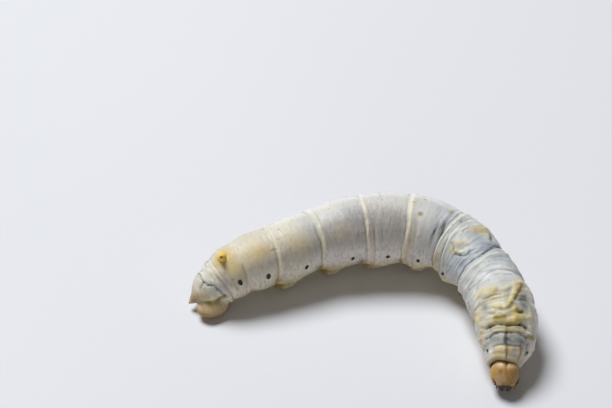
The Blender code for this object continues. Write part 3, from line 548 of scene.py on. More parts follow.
def fair(knots, values, at):
    """A fair curve through the knots: cubic pieces with central slopes."""
    knots = np.asarray(knots, float)
    values = np.asarray(values, float)
    slopes = np.gradient(values, knots)
    piece = np.clip(np.searchsorted(knots, at) - 1, 0, len(knots) - 2)
    span = knots[piece + 1] - knots[piece]
    t = (at - knots[piece]) / span
    start = (1 + 2 * t) * (1 - t) ** 2 * values[piece] + t * (1 - t) ** 2 * span * slopes[piece]
    end = t * t * (3 - 2 * t) * values[piece + 1] + t * t * (t - 1) * span * slopes[piece + 1]
    return start + end


EDGES = np.concatenate([[0.0], np.cumsum([part.length for part in SEGMENTS])])
LENGTH = EDGES[-1]
THORAX_START = EDGES[8]
LINE = np.arange(0.0, LENGTH + LINE_STEP / 2, LINE_STEP)
NUMBER = {part.name: i for i, part in enumerate(SEGMENTS)}


def from_middles(values):
    """Values given at the segments' middles, for every point of the line."""
    middles = (EDGES[1:] + EDGES[:-1]) / 2
    knots = np.concatenate([[EDGES[0]], middles, [EDGES[-1]]])
    return fair(knots, [values[0], *values, values[-1]], LINE)


def directions(heading, drop):
    """Unit vectors along, up and to the right, for a heading and a drop in radians."""
    level = np.cos(drop)
    along = np.stack([np.cos(heading) * level, np.sin(heading) * level, -np.sin(drop)], -1)
    up = np.stack([np.cos(heading) * np.sin(drop), np.sin(heading) * np.sin(drop), level], -1)
    return along, up, np.cross(along, up)


HEADING = np.radians(from_middles([part.heading for part in SEGMENTS]))
DROP = np.radians(from_middles([part.drop for part in SEGMENTS]))
LEAN = np.radians(from_middles([part.lean for part in SEGMENTS]))
PATH = directions(HEADING, DROP)[0]
CENTRES = np.array(TAIL_TIP) + np.concatenate([
    np.zeros((1, 3)),
    np.cumsum((PATH[1:] + PATH[:-1]) / 2 * LINE_STEP, axis=0),
])


def frames_at(s):
    """The body's centres at places from the tail, and its vectors along, up and to the right."""
    heading = np.interp(s, LINE, HEADING)
    lean = np.interp(s, LINE, LEAN)
    centre = np.stack([np.interp(s, LINE, CENTRES[:, axis]) for axis in range(3)], -1)
    return (centre, *directions(heading, lean))


def place_of(segment, along):
    """The distance from the tail of a place given from a segment's rear edge."""
    return EDGES[NUMBER[segment]] + along


def half_sizes(s):
    """Half the body's width and height, rounded off at the tip of the tail."""
    widths = [TAIL_HALF_WIDTH, *[part.half_width for part in SEGMENTS]]
    heights = [TAIL_HALF_HEIGHT, *[part.half_height for part in SEGMENTS]]
    left = 1 - np.minimum(s / TAIL_ROUNDING, 1)
    rounding = np.sqrt(1 - left * left)
    return fair(EDGES, widths, s) * rounding, fair(EDGES, heights, s) * rounding


def bell(x):
    return np.exp(-x * x)


def smooth(x):
    """An even step from 0 to 1."""
    x = np.clip(x, 0, 1)
    return x * x * (3 - 2 * x)


def angle_between(a, b):
    return (a - b + 180) % 360 - 180


def value_noise(x, y, period, seed):
    """Soft noise from -1 to 1 that repeats every `period` cells of y."""
    table = np.random.default_rng(seed).uniform(-1, 1, (int(x.max()) + 3, period))
    x0 = np.floor(x).astype(int)
    y0 = np.floor(y).astype(int)
    tx = smooth(x - x0)
    ty = smooth(y - y0)
    low = table[x0, y0 % period] * (1 - ty) + table[x0, (y0 + 1) % period] * ty
    high = table[x0 + 1, y0 % period] * (1 - ty) + table[x0 + 1, (y0 + 1) % period] * ty
    return low * (1 - tx) + high * tx


# The grid of the skin

def spread(density, fine, count):
    """`count` places along `fine`, packed as closely as the density asks."""
    total = np.concatenate([[0.0], np.cumsum((density[1:] + density[:-1]) / 2 * np.diff(fine))])
    return np.interp(np.linspace(0, total[-1], count), total, fine)


def row_places():
    """Rows from the tail to the head, closer together at the borders, the tail and the thorax."""
    fine = np.linspace(0.02, LENGTH, 6000)
    density = 1 + 8 * np.exp(-fine / 0.3) + 0.6 * bell((fine - 3.0) / 3.0)
    for edge in EDGES[1:-1]:
        density += 1.8 * bell((fine - edge - 0.3) / 0.9)
    density += smooth((fine - THORAX_START) / 1.5)
    return spread(density, fine, ROWS)


def column_angles():
    """Columns round the body, closer together at the prolegs and on the back."""
    fine = np.linspace(-180, 180, 3601)
    density = 1 + 0.7 * bell((np.abs(fine) - 152) / 24) + 0.3 * bell(fine / 60)
    return spread(density, fine, COLUMNS + 1)[:-1]


S = row_places()
ANGLES = column_angles()
HALF_WIDTH, HALF_HEIGHT = half_sizes(S)
RADIUS = (HALF_WIDTH + HALF_HEIGHT) / 2
TURNED = np.abs(ANGLES)
TURN_SHARE = (ANGLES[None, :] + 180) / 360


def segment_share(s):
    """How far each place is through its segment, from 0 to 1."""
    number = np.clip(np.searchsorted(EDGES, s) - 1, 0, len(SEGMENTS) - 1)
    return (s - EDGES[number]) / (EDGES[number + 1] - EDGES[number])


def near_rows(low, high):
    """The rows between two places."""
    first, last = np.searchsorted(S, (low, high))
    return slice(first, max(last, first + 1))


def skin_noise(rows, lengthwise, around, seed, shift=0):
    """Noise over some rows, with so many cells to the millimetre along the body and in all round it."""
    return value_noise(S[rows, None] * lengthwise + shift, TURN_SHARE * around, around, seed)


def smooth_path(path):
    """A fair curve through the (along, angle) places of a line."""
    places = np.array(path, float)
    knots = np.arange(len(places))
    at = np.linspace(0, len(places) - 1, (len(places) - 1) * PATH_STEPS + 1)
    return np.stack([fair(knots, places[:, 0], at), fair(knots, places[:, 1], at)], -1)


def path_distance(rows, start, path):
    """How far each place of some rows is from a path, measured on the skin."""
    points = smooth_path(path)
    middle = points[:, 1].mean()
    radius = RADIUS[rows].mean()
    x = (S[rows] - start)[:, None] + np.zeros(COLUMNS)
    y = np.radians(angle_between(ANGLES, middle))[None, :] * radius + np.zeros_like(x)
    px = points[:, 0]
    py = np.radians(points[:, 1] - middle) * radius
    nearest = np.full(x.shape, np.inf)
    for i in range(len(points) - 1):
        dx = px[i + 1] - px[i]
        dy = py[i + 1] - py[i]
        share = np.clip(((x - px[i]) * dx + (y - py[i]) * dy) / max(dx * dx + dy * dy, 1e-9), 0, 1)
        nearest = np.minimum(nearest, np.hypot(x - px[i] - share * dx, y - py[i] - share * dy))
    return nearest


class Skin:
    """The height of the skin over the plain body, and how strongly each paint lies on it."""

    def __init__(self):
        shape = (ROWS, COLUMNS)
        self.height = np.zeros(shape)
        self.paint = {name: np.zeros(shape) for name in PAINTS}

    def add(self, rows, form, height, paint, amount, cover=None):
        """Raise some rows by a form, and stain them with a wider form if one is given."""
        self.height[rows] += height * form
        cover = form if cover is None else cover
        self.paint[paint][rows] = np.maximum(self.paint[paint][rows], np.minimum(amount * cover, 1))

    def stain(self, paint, amount):
        self.paint[paint] = np.maximum(self.paint[paint], np.clip(amount, 0, 1))

    def hoop(self, segment, places, height, width, paint, amount):
        number = NUMBER[segment]
        angles, alongs = zip(*places)
        turned = TURNED if angles[0] >= 0 else ANGLES
        at = fair(angles, alongs, np.clip(turned, angles[0], angles[-1])) + place_of(segment, 0)
        fade = 1 / (1 + np.exp((turned - angles[-1]) / HOOP_FADE))
        if angles[0] != 0:
            fade = fade / (1 + np.exp((angles[0] - turned) / HOOP_FADE))
        rows = near_rows(at.min() - HOOP_MARGIN, at.max() + HOOP_MARGIN)
        wave = 0.05 * skin_noise(rows, 0.3, 16, 3, number) + 0.03 * skin_noise(rows, 1.5, 60, 4)
        away = S[rows, None] - at[None, :] + wave
        steep = np.where(away < 0, away * HOOP_LEAN, away / HOOP_LEAN) / width
        vary = 1 + 0.5 * skin_noise(rows, 0.5, 26, 5, number)
        worn = 1 + 0.3 * skin_noise(rows, 1.0, 40, 6)
        cover = bell(away / (1.1 * width)) * fade[None, :] * worn
        self.add(rows, bell(steep) * fade[None, :] * vary, height, paint, amount, cover)

    def line(self, segment, path, height, width, paint, amount):
        start = place_of(segment, 0)
        alongs = [along for along, _ in path]
        rows = near_rows(start + min(alongs) - 4 * width, start + max(alongs) + 4 * width)
        away = path_distance(rows, start, path) + 0.07 * skin_noise(rows, 1.2, 44, 7)
        vary = 1 + 0.45 * skin_noise(rows, 1.6, 50, 8)
        cover = bell(away / (1.25 * width)) * (0.3 + 0.7 * vary)
        self.add(rows, bell(away / width) * vary, height, paint, amount, cover)

    def paired_line(self, segment, path, *look):
        self.line(segment, path, *look)
        self.line(segment, [(along, -angle) for along, angle in path], *look)

    def patch(self, segment, along, angle, length, width, paint, amount, height=0.0):
        middle = place_of(segment, along)
        rows = near_rows(middle - 3 * length, middle + 3 * length)
        lengthwise = (S[rows, None] - middle) / length
        sideways = np.radians(angle_between(ANGLES, angle))[None, :] * RADIUS[rows, None] / width
        self.add(rows, bell(np.hypot(lengthwise, sideways)), height, paint, amount)

    def lobe(self, segment, along, angle, length, width, height, side):
        lengthwise = bell((S - place_of(segment, along)) / length)
        sideways = bell(np.radians(TURNED - angle)[None, :] * HALF_WIDTH[:, None] / width)
        own_side = (side == 0) | (np.sign(ANGLES) == side)
        self.height += height * lengthwise[:, None] * sideways * own_side

    def wrinkles(self):
        """Fine creases round the body, stronger at its borders and its front, with a few across them."""
        share = segment_share(S)[:, None]
        edge = 1 - smooth(np.minimum(share, 1 - share) / 0.3)
        front = smooth((S - THORAX_START) / 6)[:, None]
        flank = smooth((TURNED - 60) / 40)[None, :]
        tail = bell(S / 5)[:, None]
        every = slice(None)
        hoops = skin_noise(every, 2.6, 14, 11)
        finer = skin_noise(every, 5.0, 22, 12)
        pleats = skin_noise(every, 0.9, 60, 13)
        dents = skin_noise(every, 1.3, 36, 14)
        lumps = skin_noise(every, 1.1, 30, 15)
        self.height += hoops * (0.016 + 0.036 * edge + 0.040 * front + 0.03 * tail)
        self.height += finer * (0.010 + 0.016 * edge + 0.022 * front)
        self.height += pleats * (0.008 + 0.046 * flank)
        self.height += dents * (0.012 + 0.048 * flank)
        self.height += lumps * 0.075 * front

    def tints(self):
        """Broad tints: an ivory back, painted shade as a grey-lilac band on the upper flanks, painted light
        from the floor on the low ones, a yellowish underside partly painted as light glowing through the
        skin, and painted light on the left upper flank of the middle segments.
        """
        arch = bell((S - 30) / 9)[:, None]
        start = np.where(ANGLES > 0, -10, 16)[None, :] * arch + 22 * (1 - arch)
        middle = smooth((np.where(ANGLES > -20, ANGLES, TURNED)[None, :] - start) / 34)
        middle = middle * (1 - smooth((TURNED - 50) / 34))[None, :]
        low = smooth((TURNED - 62) / 24) * (1 - smooth((TURNED - 114) / 24))
        along = 0.48 - 0.26 * smooth((S - 36) / 4) + 0.34 * bell((S - 28) / 6)
        thorax = smooth((S - THORAX_START - 2) / 5)
        far = smooth((-ANGLES - 6) / 20) * (1 - smooth((-ANGLES - 60) / 30))
        far_along = smooth((S - 12) / 6) * (1 - smooth((S - 46) / 6))
        above = 1 - smooth((TURNED - 75) / 40)
        # Painted shade on the upper flanks, and painted light from the floor on the low flanks
        self.paint["flank"] += middle * (along * (1 - 0.75 * thorax))[:, None]
        self.paint["low"] += low[None, :]
        self.paint["ivory"] += 0.55 * (1 - smooth((S - 14) / 9))[:, None] * (1 - middle)
        # A yellowish underside, partly painted glow of light through the thin skin
        self.paint["belly"] += smooth((TURNED - 100) / 26)[None, :]
        # Painted light on the left upper flank of the middle segments
        self.paint["white"] += 0.65 * far[None, :] * far_along[:, None]
        self.paint["cool"] += (0.9 * bell((S - 49.5) / 6.5))[:, None] * above[None, :]

    def build(self):
        self.height += SWELL * np.sin(np.pi * segment_share(S))[:, None]
        self.tints()
        marks = ((LOBES, self.lobe), (HOOPS, self.hoop), (LINES, self.line), (PAIRED_LINES, self.paired_line),
                 (PATCHES, self.patch))
        for table, draw in marks:
            for segment, rows in table.items():
                for row in rows:
                    draw(segment, *row)
        self.wrinkles()
        for hole in SPIRACLES:
            for side, _ in SIDES:
                self.patch(hole.segment, hole.along, side * hole.angle, 0.7, 0.8, "cream", 0.3, -0.05)
        self.height *= np.minimum(1, S / TAIL_ROUNDING)[:, None]
        return self


def skin_points(s, angles, height):
    """The surface of the body for rows of places, columns of angles, and a height over the plain body."""
    centre, _, up, right = frames_at(s)
    half_width, half_height = half_sizes(s)
    radians = np.radians(angles)
    sideways = (half_width[:, None] + height) * np.sin(radians)
    upward = (half_height[:, None] + height) * np.cos(radians)
    upward = np.where(upward < 0, upward * BELLY_FLATNESS, upward)
    return centre[:, None] + sideways[..., None] * right[:, None] + upward[..., None] * up[:, None]


def on_skin(s, angle, height):
    """A point of the plain body with its outward normal and its direction toward the head."""
    nudge = 0.2
    rows = np.array([s - nudge, s, s + nudge])
    columns = np.array([angle - 2.0, angle, angle + 2.0])
    points = skin_points(rows, columns, np.zeros((3, 3)) + height)
    forward = Vector(points[2, 1] - points[0, 1]).normalized()
    normal = forward.cross(Vector(points[1, 2] - points[1, 0])).normalized()
    if normal.dot(Vector(points[1, 1] - frames_at(np.array([s]))[0][0])) < 0:
        normal.negate()
    return Vector(points[1, 1]), normal, forward


def level_frame(s):
    """The floor under the body's centre, with level vectors along the body and to its right."""
    centre, along, _, right = (item[0] * (1.0, 1.0, 0.0) for item in frames_at(np.array([s])))
    return centre, along / np.linalg.norm(along), right / np.linalg.norm(right)


# Legs drawn out of the skin

# A place on the other side of the body counts as FAR_OUT on a limb. The reach of a proleg's root is given
# along and round the body. The swing is the angle from the sole of the lobe, at shares of the way out.
FAR_OUT = 9.0
PROLEG_REACH = (2.6, 2.35)
ANAL_ANGLE = 128
ANAL_REACH_ROUND = 2.1
ANAL_SWING = ((0.0, 0.25, 0.5, 0.75, 1.0), (0, 28, 58, 88, 118))


def limb_map(place, angle, reach_along, reach_round, side):
    """For each grid place, how far out it is on a round limb, and the direction it lies in."""
    u = (S - place)[:, None] / reach_along
    v = -np.radians(TURNED - angle)[None, :] * np.maximum(RADIUS, reach_round)[:, None] / reach_round
    own_side = (np.sign(ANGLES) == side)[None, :]
    return np.where(own_side, np.hypot(u, v), FAR_OUT), np.arctan2(v, u + np.zeros_like(v))


def around(middle, ahead, across, half_length, half_width, turn):
    """Places on an oval round a middle, at each place's own half sizes and turn."""
    lengthwise = ahead * (half_length * np.cos(turn))[..., None]
    return middle + lengthwise + across * (half_width * np.sin(turn))[..., None]


def relax(points, weight, times):
    """Even out the grid where the weight asks for it."""
    for _ in range(times):
        padded = np.concatenate([points[:1], points, points[-1:]])
        mean = (padded[:-2] + padded[2:] + np.roll(points, 1, axis=1) + np.roll(points, -1, axis=1)) / 4
        points += (mean - points) * weight[..., None]


def draw_proleg(points, skin, proleg, side):
    """Pull a round patch of the belly down to a fleshy leg with a small sole on the floor."""
    place = place_of(proleg.segment, proleg.along)
    floor, forward, right = level_frame(place)
    half_width = np.interp(place, S, HALF_WIDTH)
    angle = 180 - math.degrees(math.asin(PROLEG_ROOT_OFFSET / half_width))
    out, turn = limb_map(place, angle, *PROLEG_REACH, side)
    root = floor + right * side * PROLEG_ROOT_OFFSET
    sole = floor + right * side * PROLEG_SOLE_OFFSET - forward * proleg.back
    steps = np.array(PROLEG_STEPS)
    clipped = np.minimum(out, 1.0)
    height, share, half_length, half_width = (fair(steps[:, 0], column, clipped) for column in steps.T[1:])
    ring = 1 + 0.04 * np.sin(5 * turn + 2 + proleg.along) * smooth((clipped - 0.4) / 0.3)
    folds = 0.030 * np.sin(height * 9 + np.sin(2 * turn)) * smooth((clipped - 0.55) / 0.15)
    folds = folds + 0.014 * np.sin(height * 23 + 2 * np.sin(3 * turn)) * smooth((clipped - 0.5) / 0.15)
    middle = sole + (root - sole) * share[..., None]
    ring = ring + folds
    limb = around(middle, forward, right * side, half_length * ring, half_width * ring, turn)
    limb[..., 2] = np.maximum(height, 0.0)
    points += (limb - points) * smooth((1 - out) / 0.30)[..., None]
    relax(points, 0.5 * bell((out - 0.96) / 0.14), 6)
    inside = smooth((1.05 - out) / 0.2)
    crease = bell((height - PROLEG_CREASE) / 0.14) * smooth((out - 0.45) / 0.1) * (out < 1.2)
    points -= (0.24 * crease * np.sin(turn))[..., None] * right * side
    points -= (0.18 * crease * np.cos(turn))[..., None] * forward
    # Painted shade in the crease round the leg
    skin.stain("olive", 0.75 * crease)
    skin.stain("cream", 0.7 * inside * smooth((np.cos(turn) + 0.3) / 0.6) * smooth((height - 0.35) / 0.3))
    # On the leg's inner face, the yellowish underside paint; amber on its rear and round its foot is painted
    # glow of light through the flesh, with painted shade in the recess behind it
    rear = smooth((-0.40 - np.cos(turn)) / 0.4) * smooth((out - 0.30) / 0.15)
    skin.stain("belly", 0.85 * inside * smooth((2.4 - height) / 1.0))
    skin.stain("amber", 0.85 * inside * rear * smooth((2.0 - height) / 0.7))
    skin.stain("amber", 0.8 * smooth((0.95 - height) / 0.6) * smooth((0.9 - out) / 0.2))


def draw_anal_proleg(points, skin, side):
    """Pull the side of the tail down to a broad lobe that stands on the floor."""
    along, offset, half_length = ANAL_PROLEGS[side]
    floor, forward, right = level_frame(along)
    out, turn = limb_map(along, ANAL_ANGLE, 0.9 * half_length, ANAL_REACH_ROUND, side)
    clipped = np.minimum(out, 1.0)
    swing = np.radians(fair(*ANAL_SWING, clipped))
    girth = np.sin(swing)
    level = ANAL_HALF_HEIGHT * (1 - np.cos(swing))
    girth = girth * (1 + 0.010 * np.sin(6 * turn + 1) * girth)
    outward = right * side
    middle = floor + outward * offset
    limb = around(middle, forward, outward, half_length * girth, ANAL_HALF_WIDTH * girth, turn)
    limb[..., 2] = np.maximum(level - 0.06, 0.0)
    points += (limb - points) * smooth((1 - out) / 0.28)[..., None]
    # The yellowish underside paint, partly painted glow of light through the skin
    skin.stain("belly", 0.8 * smooth((1.05 - out) / 0.2))
    inside = smooth((1.02 - out) / 0.2)
    skin.stain("bronze", inside * (0.22 + 0.55 * smooth((-0.1 - np.cos(turn)) / 0.8)))
    skin.stain("sand", inside * 0.6 * smooth((np.cos(turn) - 0.1) / 0.6) * smooth((level - 1.0) / 0.8))
    # Amber and olive toward the lobe's bottom: partly its darker rim, partly painted shade under it
    skin.stain("amber", 0.95 * smooth((2.6 - level) / 1.5) * smooth((1 - out) / 0.3))
    skin.stain("olive", 0.50 * smooth((2.0 - level) / 1.2) * smooth((1 - out) / 0.3))
    return out


def shape_tail(points, skin):
    """The two broad lobes of the tail, an even plate over them, and its small pointed end."""
    outs = [draw_anal_proleg(points, skin, side) for side in (1, -1)]
    rim = np.maximum(bell((outs[0] - 0.98) / 0.16), bell((outs[1] - 0.98) / 0.16))
    end = np.exp(-S / 0.5)[:, None] * np.ones((1, COLUMNS))
    relax(points, 0.5 * np.maximum(rim * 0.8, end), 14)
    away = np.linalg.norm(points - np.array(TAIL_POINT), axis=-1)
    ahead = np.array(TAIL_POINT_DIRECTION) / np.linalg.norm(TAIL_POINT_DIRECTION)
    points += (bell(away / TAIL_POINT_RADIUS) * TAIL_POINT_LENGTH)[..., None] * ahead
    return points[0].mean(axis=0)


# Mesh making

def new_mesh_object(name, points, faces, materials):
    """An object from points in millimetres."""
    mesh = bpy.data.meshes.new(name)
    mesh.from_pydata((np.asarray(points, float) * MM).tolist(), [], faces)
    mesh.update()
    mesh.shade_smooth()
    for material in materials:
        mesh.materials.append(material)
    obj = bpy.data.objects.new(name, mesh)
    bpy.context.scene.collection.objects.link(obj)
    return obj


class Shell:
    """Points and faces of one mesh, gathered from several closed forms."""

    def __init__(self):
        self.points = []
        self.faces = []
        self.slots = []

    def loft(self, rings, slot=0, close=True):
        """A closed skin over rings of equal point counts that run with their turn seen from behind."""
        first = len(self.points)
        count = len(rings[0])
        for ring in rings:
            self.points.extend([tuple(point) for point in ring])
        for i in range(len(rings) - 1):
            for j in range(count):
                k = (j + 1) % count
                low = first + i * count
                high = low + count
                self.faces.append((low + j, low + k, high + k, high + j))
                self.slots.append(slot)
        if close:
            for i, flip in ((0, True), (len(rings) - 1, False)):
                middle = [sum(point[axis] for point in rings[i]) / count for axis in range(3)]
                self.cap(first + i * count, count, middle, slot, flip)

    def cap(self, base, count, middle, slot, flip=False):
        """A fan from a middle over the ring whose points start at number `base`."""
        tip = len(self.points)
        self.points.append(tuple(middle))
        for j in range(count):
            k = (j + 1) % count
            self.faces.append((base + k, base + j, tip) if flip else (base + j, base + k, tip))
            self.slots.append(slot)

    def make(self, name, materials):
        obj = new_mesh_object(name, self.points, self.faces, materials)
        obj.data.polygons.foreach_set("material_index", self.slots)
        return obj


def oval(centre, along, across, half_length, half_width, sides):
    """A ring of points round a centre in the plane of two vectors."""
    ring = []
    for i in range(sides):
        turn = 2 * math.pi * i / sides
        ring.append(Vector(centre) + Vector(along) * half_length * math.cos(turn)
                    + Vector(across) * half_width * math.sin(turn))
    return ring


def tube(shell, middles, radii, sides):
    """A closed tube along middles, which keeps its sides from twisting."""
    across = None
    rings = []
    for i, middle in enumerate(middles):
        ahead = middles[min(i + 1, len(middles) - 1)] - middles[max(i - 1, 0)]
        ahead.normalize()
        if across is None:
            guide = Vector((0, 0, 1)) if abs(ahead.z) < 0.9 else Vector((1, 0, 0))
            across = ahead.cross(guide).normalized()
        across = (across - ahead * across.dot(ahead)).normalized()
        other = ahead.cross(across)
        rings.append(oval(middle, across, other, radii[i], radii[i], sides))
    shell.loft(rings)


# Materials

def linear(colour):
    """A colour of 0 to 255 as the light values that a shader takes."""
    values = [channel / 255 for channel in colour]
    return tuple(v / 12.92 if v <= 0.04045 else ((v + 0.055) / 1.055) ** 2.4 for v in values)


class Finish:
    """A material being made from nodes."""

    def __init__(self, name):
        self.material = bpy.data.materials.new(name)
        self.material.use_nodes = True
        self.nodes = self.material.node_tree.nodes
        self.links = self.material.node_tree.links
        self.shader = self.nodes["Principled BSDF"]
        self.bump = None

    def node(self, kind, **inputs):
        node = self.nodes.new(kind)
        for name, value in inputs.items():
            self.give(node.inputs[name.replace("_", " ")], value)
        return node

    def give(self, socket, value):
        if isinstance(value, bpy.types.NodeSocket):
            self.links.new(value, socket)
        else:
            socket.default_value = value

    def give_colour(self, socket, colour):
        self.give(socket, colour if isinstance(colour, bpy.types.NodeSocket) else (*linear(colour), 1.0))

    def place(self, scale=1 / MM):
        """Places on the object, in millimetres unless another scale is given."""
        return self.stretched(self.nodes.new("ShaderNodeTexCoord").outputs["Object"], (scale, scale, scale))

    def attribute(self, name, output="Fac"):
        node = self.nodes.new("ShaderNodeAttribute")
        node.attribute_name = name
        return node.outputs[output]

    def stretched(self, vector, scale):
        node = self.node("ShaderNodeMapping", Vector=vector, Scale=scale)
        return node.outputs["Vector"]

    def noise(self, vector, scale, detail=3.0, roughness=0.55):
        node = self.node("ShaderNodeTexNoise", Vector=vector, Scale=scale, Detail=detail, Roughness=roughness)
        return node.outputs["Fac"]

    def ramp(self, value, low, high, low_out=0.0, high_out=1.0):
        node = self.node("ShaderNodeMapRange", Value=value)
        limits = {"From Min": low, "From Max": high, "To Min": low_out, "To Max": high_out}
        for name, limit in limits.items():
            node.inputs[name].default_value = limit
        return node.outputs["Result"]

    def clouds(self, place, cloud_scale, fine_scale, fine_detail, first, second):
        """Two noises, a broad and a fine one, and two colours that the broad one mixes."""
        cloud = self.noise(place, cloud_scale, 3.0)
        fine = self.noise(place, fine_scale, fine_detail)
        return cloud, fine, self.blend(self.ramp(cloud, 0.35, 0.65), first, second)

    def times(self, a, b, operation="MULTIPLY"):
        node = self.nodes.new("ShaderNodeMath")
        node.operation = operation
        node.use_clamp = operation == "MULTIPLY"
        self.give(node.inputs[0], a)
        self.give(node.inputs[1], b)
        return node.outputs[0]

    def blend(self, factor, first, second):
        node = self.nodes.new("ShaderNodeMix")
        node.data_type = "RGBA"
        self.give(node.inputs["Factor"], factor)
        colours = [socket for socket in node.inputs if socket.type == "RGBA"]
        for socket, colour in zip(colours, (first, second)):
            self.give_colour(socket, colour)
        return [socket for socket in node.outputs if socket.type == "RGBA"][0]

    def raise_by(self, height, distance):
        """Add a bump of a height texture, its distance in millimetres."""
        node = self.node("ShaderNodeBump", Height=height, Distance=distance * MM, Strength=1.0)
        if self.bump is not None:
            self.links.new(self.bump, node.inputs["Normal"])
        self.bump = node.outputs["Normal"]

    def done(self, colour, roughness):
        self.give_colour(self.shader.inputs["Base Color"], colour)
        self.give(self.shader.inputs["Roughness"], roughness)
        if self.bump is not None:
            self.links.new(self.bump, self.shader.inputs["Normal"])
        return self.material


def soften(shader, weight, radius, scale):
    """Let light sink into a surface, by a distance in millimetres."""
    shader.inputs["Subsurface Weight"].default_value = weight
    shader.inputs["Subsurface Radius"].default_value = radius
    shader.inputs["Subsurface Scale"].default_value = scale * MM


def skin_material():
    """Milky skin with grey tints, bluish and grey-lilac painted shade in the folds and on the upper flanks,
    painted light on the low flanks and as highlights, painted wrinkles and fine creases round the body.
    """
    finish = Finish("skin")
    place = finish.attribute("unrolled", "Vector")
    cloud = finish.noise(place, 0.16, 2.0)
    mottle = finish.noise(finish.stretched(place, (2.2, 1.0, 1.0)), 1.0, 4.0, 0.65)
    grain = finish.noise(finish.stretched(place, (1.6, 0.8, 0.8)), 2.2, 3.0)
    streaks = finish.noise(finish.stretched(place, (4.0, 0.9, 0.9)), 1.0, 3.0)
    streaks = finish.ramp(streaks, 0.35, 0.60, 0.25, 1.0)
    uneven = finish.ramp(finish.noise(place, 1.1, 3.0), 0.25, 0.55, 0.65, 1.0)
    colour = finish.blend(finish.ramp(cloud, 0.35, 0.65), (217, 217, 211), (208, 208, 205))
    for name, paint in PAINTS.items():
        break_up = streaks if name in STREAKED else uneven
        factor = finish.times(finish.attribute("paint_" + name), break_up)
        colour = finish.blend(factor, colour, paint)
    # The mottling is strongest where the painted shade and painted light of the flanks lie
    flank = finish.times(finish.attribute("paint_flank"), finish.attribute("paint_low"), "ADD")
    flank = finish.ramp(flank, 0.0, 1.0, 0.30, 1.0)
    blotch = finish.times(finish.ramp(mottle, 0.46, 0.68, 0.0, 0.50), flank)
    colour = finish.blend(blotch, colour, (152, 142, 136))
    dirt = finish.times(finish.ramp(grain, 0.52, 0.72, 0.0, 0.38), flank)
    colour = finish.blend(dirt, colour, (138, 126, 118))
    speck = finish.noise(place, 1.5, 0.0)
    colour = finish.blend(finish.ramp(speck, 0.78, 0.82, 0.0, 0.45), colour, (132, 122, 108))
    hoops = finish.noise(finish.stretched(place, (5.0, 0.5, 0.5)), 0.9, 3.0, 0.6)
    pores = finish.noise(place, 6.0, 2.0)
    finish.raise_by(hoops, 0.05)
    finish.raise_by(finish.times(mottle, flank), 0.12)
    finish.raise_by(pores, 0.014)
    soften(finish.shader, 0.25, (1.0, 0.75, 0.55), 0.8)
    finish.shader.inputs["Specular IOR Level"].default_value = 0.4
    return finish.done(colour, finish.ramp(mottle, 0.3, 0.7, 0.40, 0.58))


def shell_material(name, base, second, dark, roughness, pit=0.02):
    """Hard brown shell with cloudy colour and fine pits."""
    finish = Finish(name)
    cloud, fine, colour = finish.clouds(finish.place(), 0.7, 5.0, 4.0, base, second)
    colour = finish.blend(finish.ramp(fine, 0.5, 0.8, 0.0, 0.5), colour, dark)
    finish.raise_by(fine, pit)
    return finish.done(colour, finish.ramp(cloud, 0.3, 0.7, roughness - 0.06, roughness + 0.08))


# Paints of the head: a painted highlight on the upper lobes, a painted lilac reflection low on the face, and
# painted shade toward the mouth; brown marks spots and sutures and darkens the left cheek and the back, and
# ochre a yellow outer edge and a spot by the mouth
HEAD_PAINTS = {
    "crown": (226, 204, 166),
    "brown": (110, 76, 32),
    "lilac_sheen": (170, 154, 146),
    "ochre": (188, 148, 58),
    "dark": (62, 42, 24),
}


def head_material():
    """Tan capsule with brown spots, darker in the grooves and on the left cheek, with a painted highlight on
    the crown, a painted lilac reflection on the face and painted shade toward the mouth.
    """
    finish = Finish("head shell")
    cloud, fine, colour = finish.clouds(finish.place(), 0.9, 6.0, 3.0, (200, 162, 102), (182, 140, 80))
    for name, paint in HEAD_PAINTS.items():
        colour = finish.blend(finish.attribute(name), colour, paint)
    colour = finish.blend(finish.ramp(fine, 0.55, 0.8, 0.0, 0.35), colour, (112, 76, 34))
    finish.raise_by(fine, 0.02)
    finish.raise_by(cloud, 0.03)
    soften(finish.shader, 0.12, (1.0, 0.5, 0.25), 0.5)
    return finish.done(colour, finish.ramp(cloud, 0.3, 0.7, 0.30, 0.46))


def floor_material():
    finish = Finish("floor")
    place = finish.nodes.new("ShaderNodeTexCoord").outputs["Object"]
    cloud = finish.noise(place, 6.0, 2.0)
    fine = finish.noise(place, 1800.0, 2.0)
    colour = finish.blend(finish.ramp(cloud, 0.3, 0.7), (226, 228, 233), (222, 225, 231))
    finish.raise_by(fine, 0.02)
    return finish.done(colour, finish.ramp(cloud, 0.3, 0.7, 0.6, 0.7))


# The body

# The collar bends from COLLAR_START behind the skin's front edge. The first two tables say how far the skin
# reaches over the head, and how far it leans to the right, at angles round the body. COLLAR gives the rings
# that turn in, by their place ahead and their scale, and the last two tables the paints on those rings.
COLLAR_START = 2.2
COLLAR_STEP = 0.2
COLLAR_REACH = ((-180, 0.6), (-120, 0.6), (-90, 0.75), (-60, 0.55), (-36, 0.15), (-12, -0.05), (14, -0.20),
                (34, -0.30), (60, -0.10), (90, 0.15), (130, 0.4), (180, 0.6))
COLLAR_HUG = ((-180, 0.0), (-130, 0.15), (-90, 0.55), (-60, 0.45), (-30, 0.10), (0, 0.0), (180, 0.0))
COLLAR = ((0.25, 0.985), (0.48, 0.94), (0.62, 0.88), (0.66, 0.82), (0.58, 0.77), (0.35, 0.73), (0.0, 0.70))
COLLAR_PAINT = (1.0, 1.0, 0.9, 0.6, 0.3, 0.0, 0.0)
COLLAR_SHADE = {
    "olive": (0.35, 0.65, 0.8, 0.9, 0.6, 0.0, 0.0),
    "brown": (0.0, 0.0, 0.2, 0.5, 0.9, 1.0, 1.0),
}


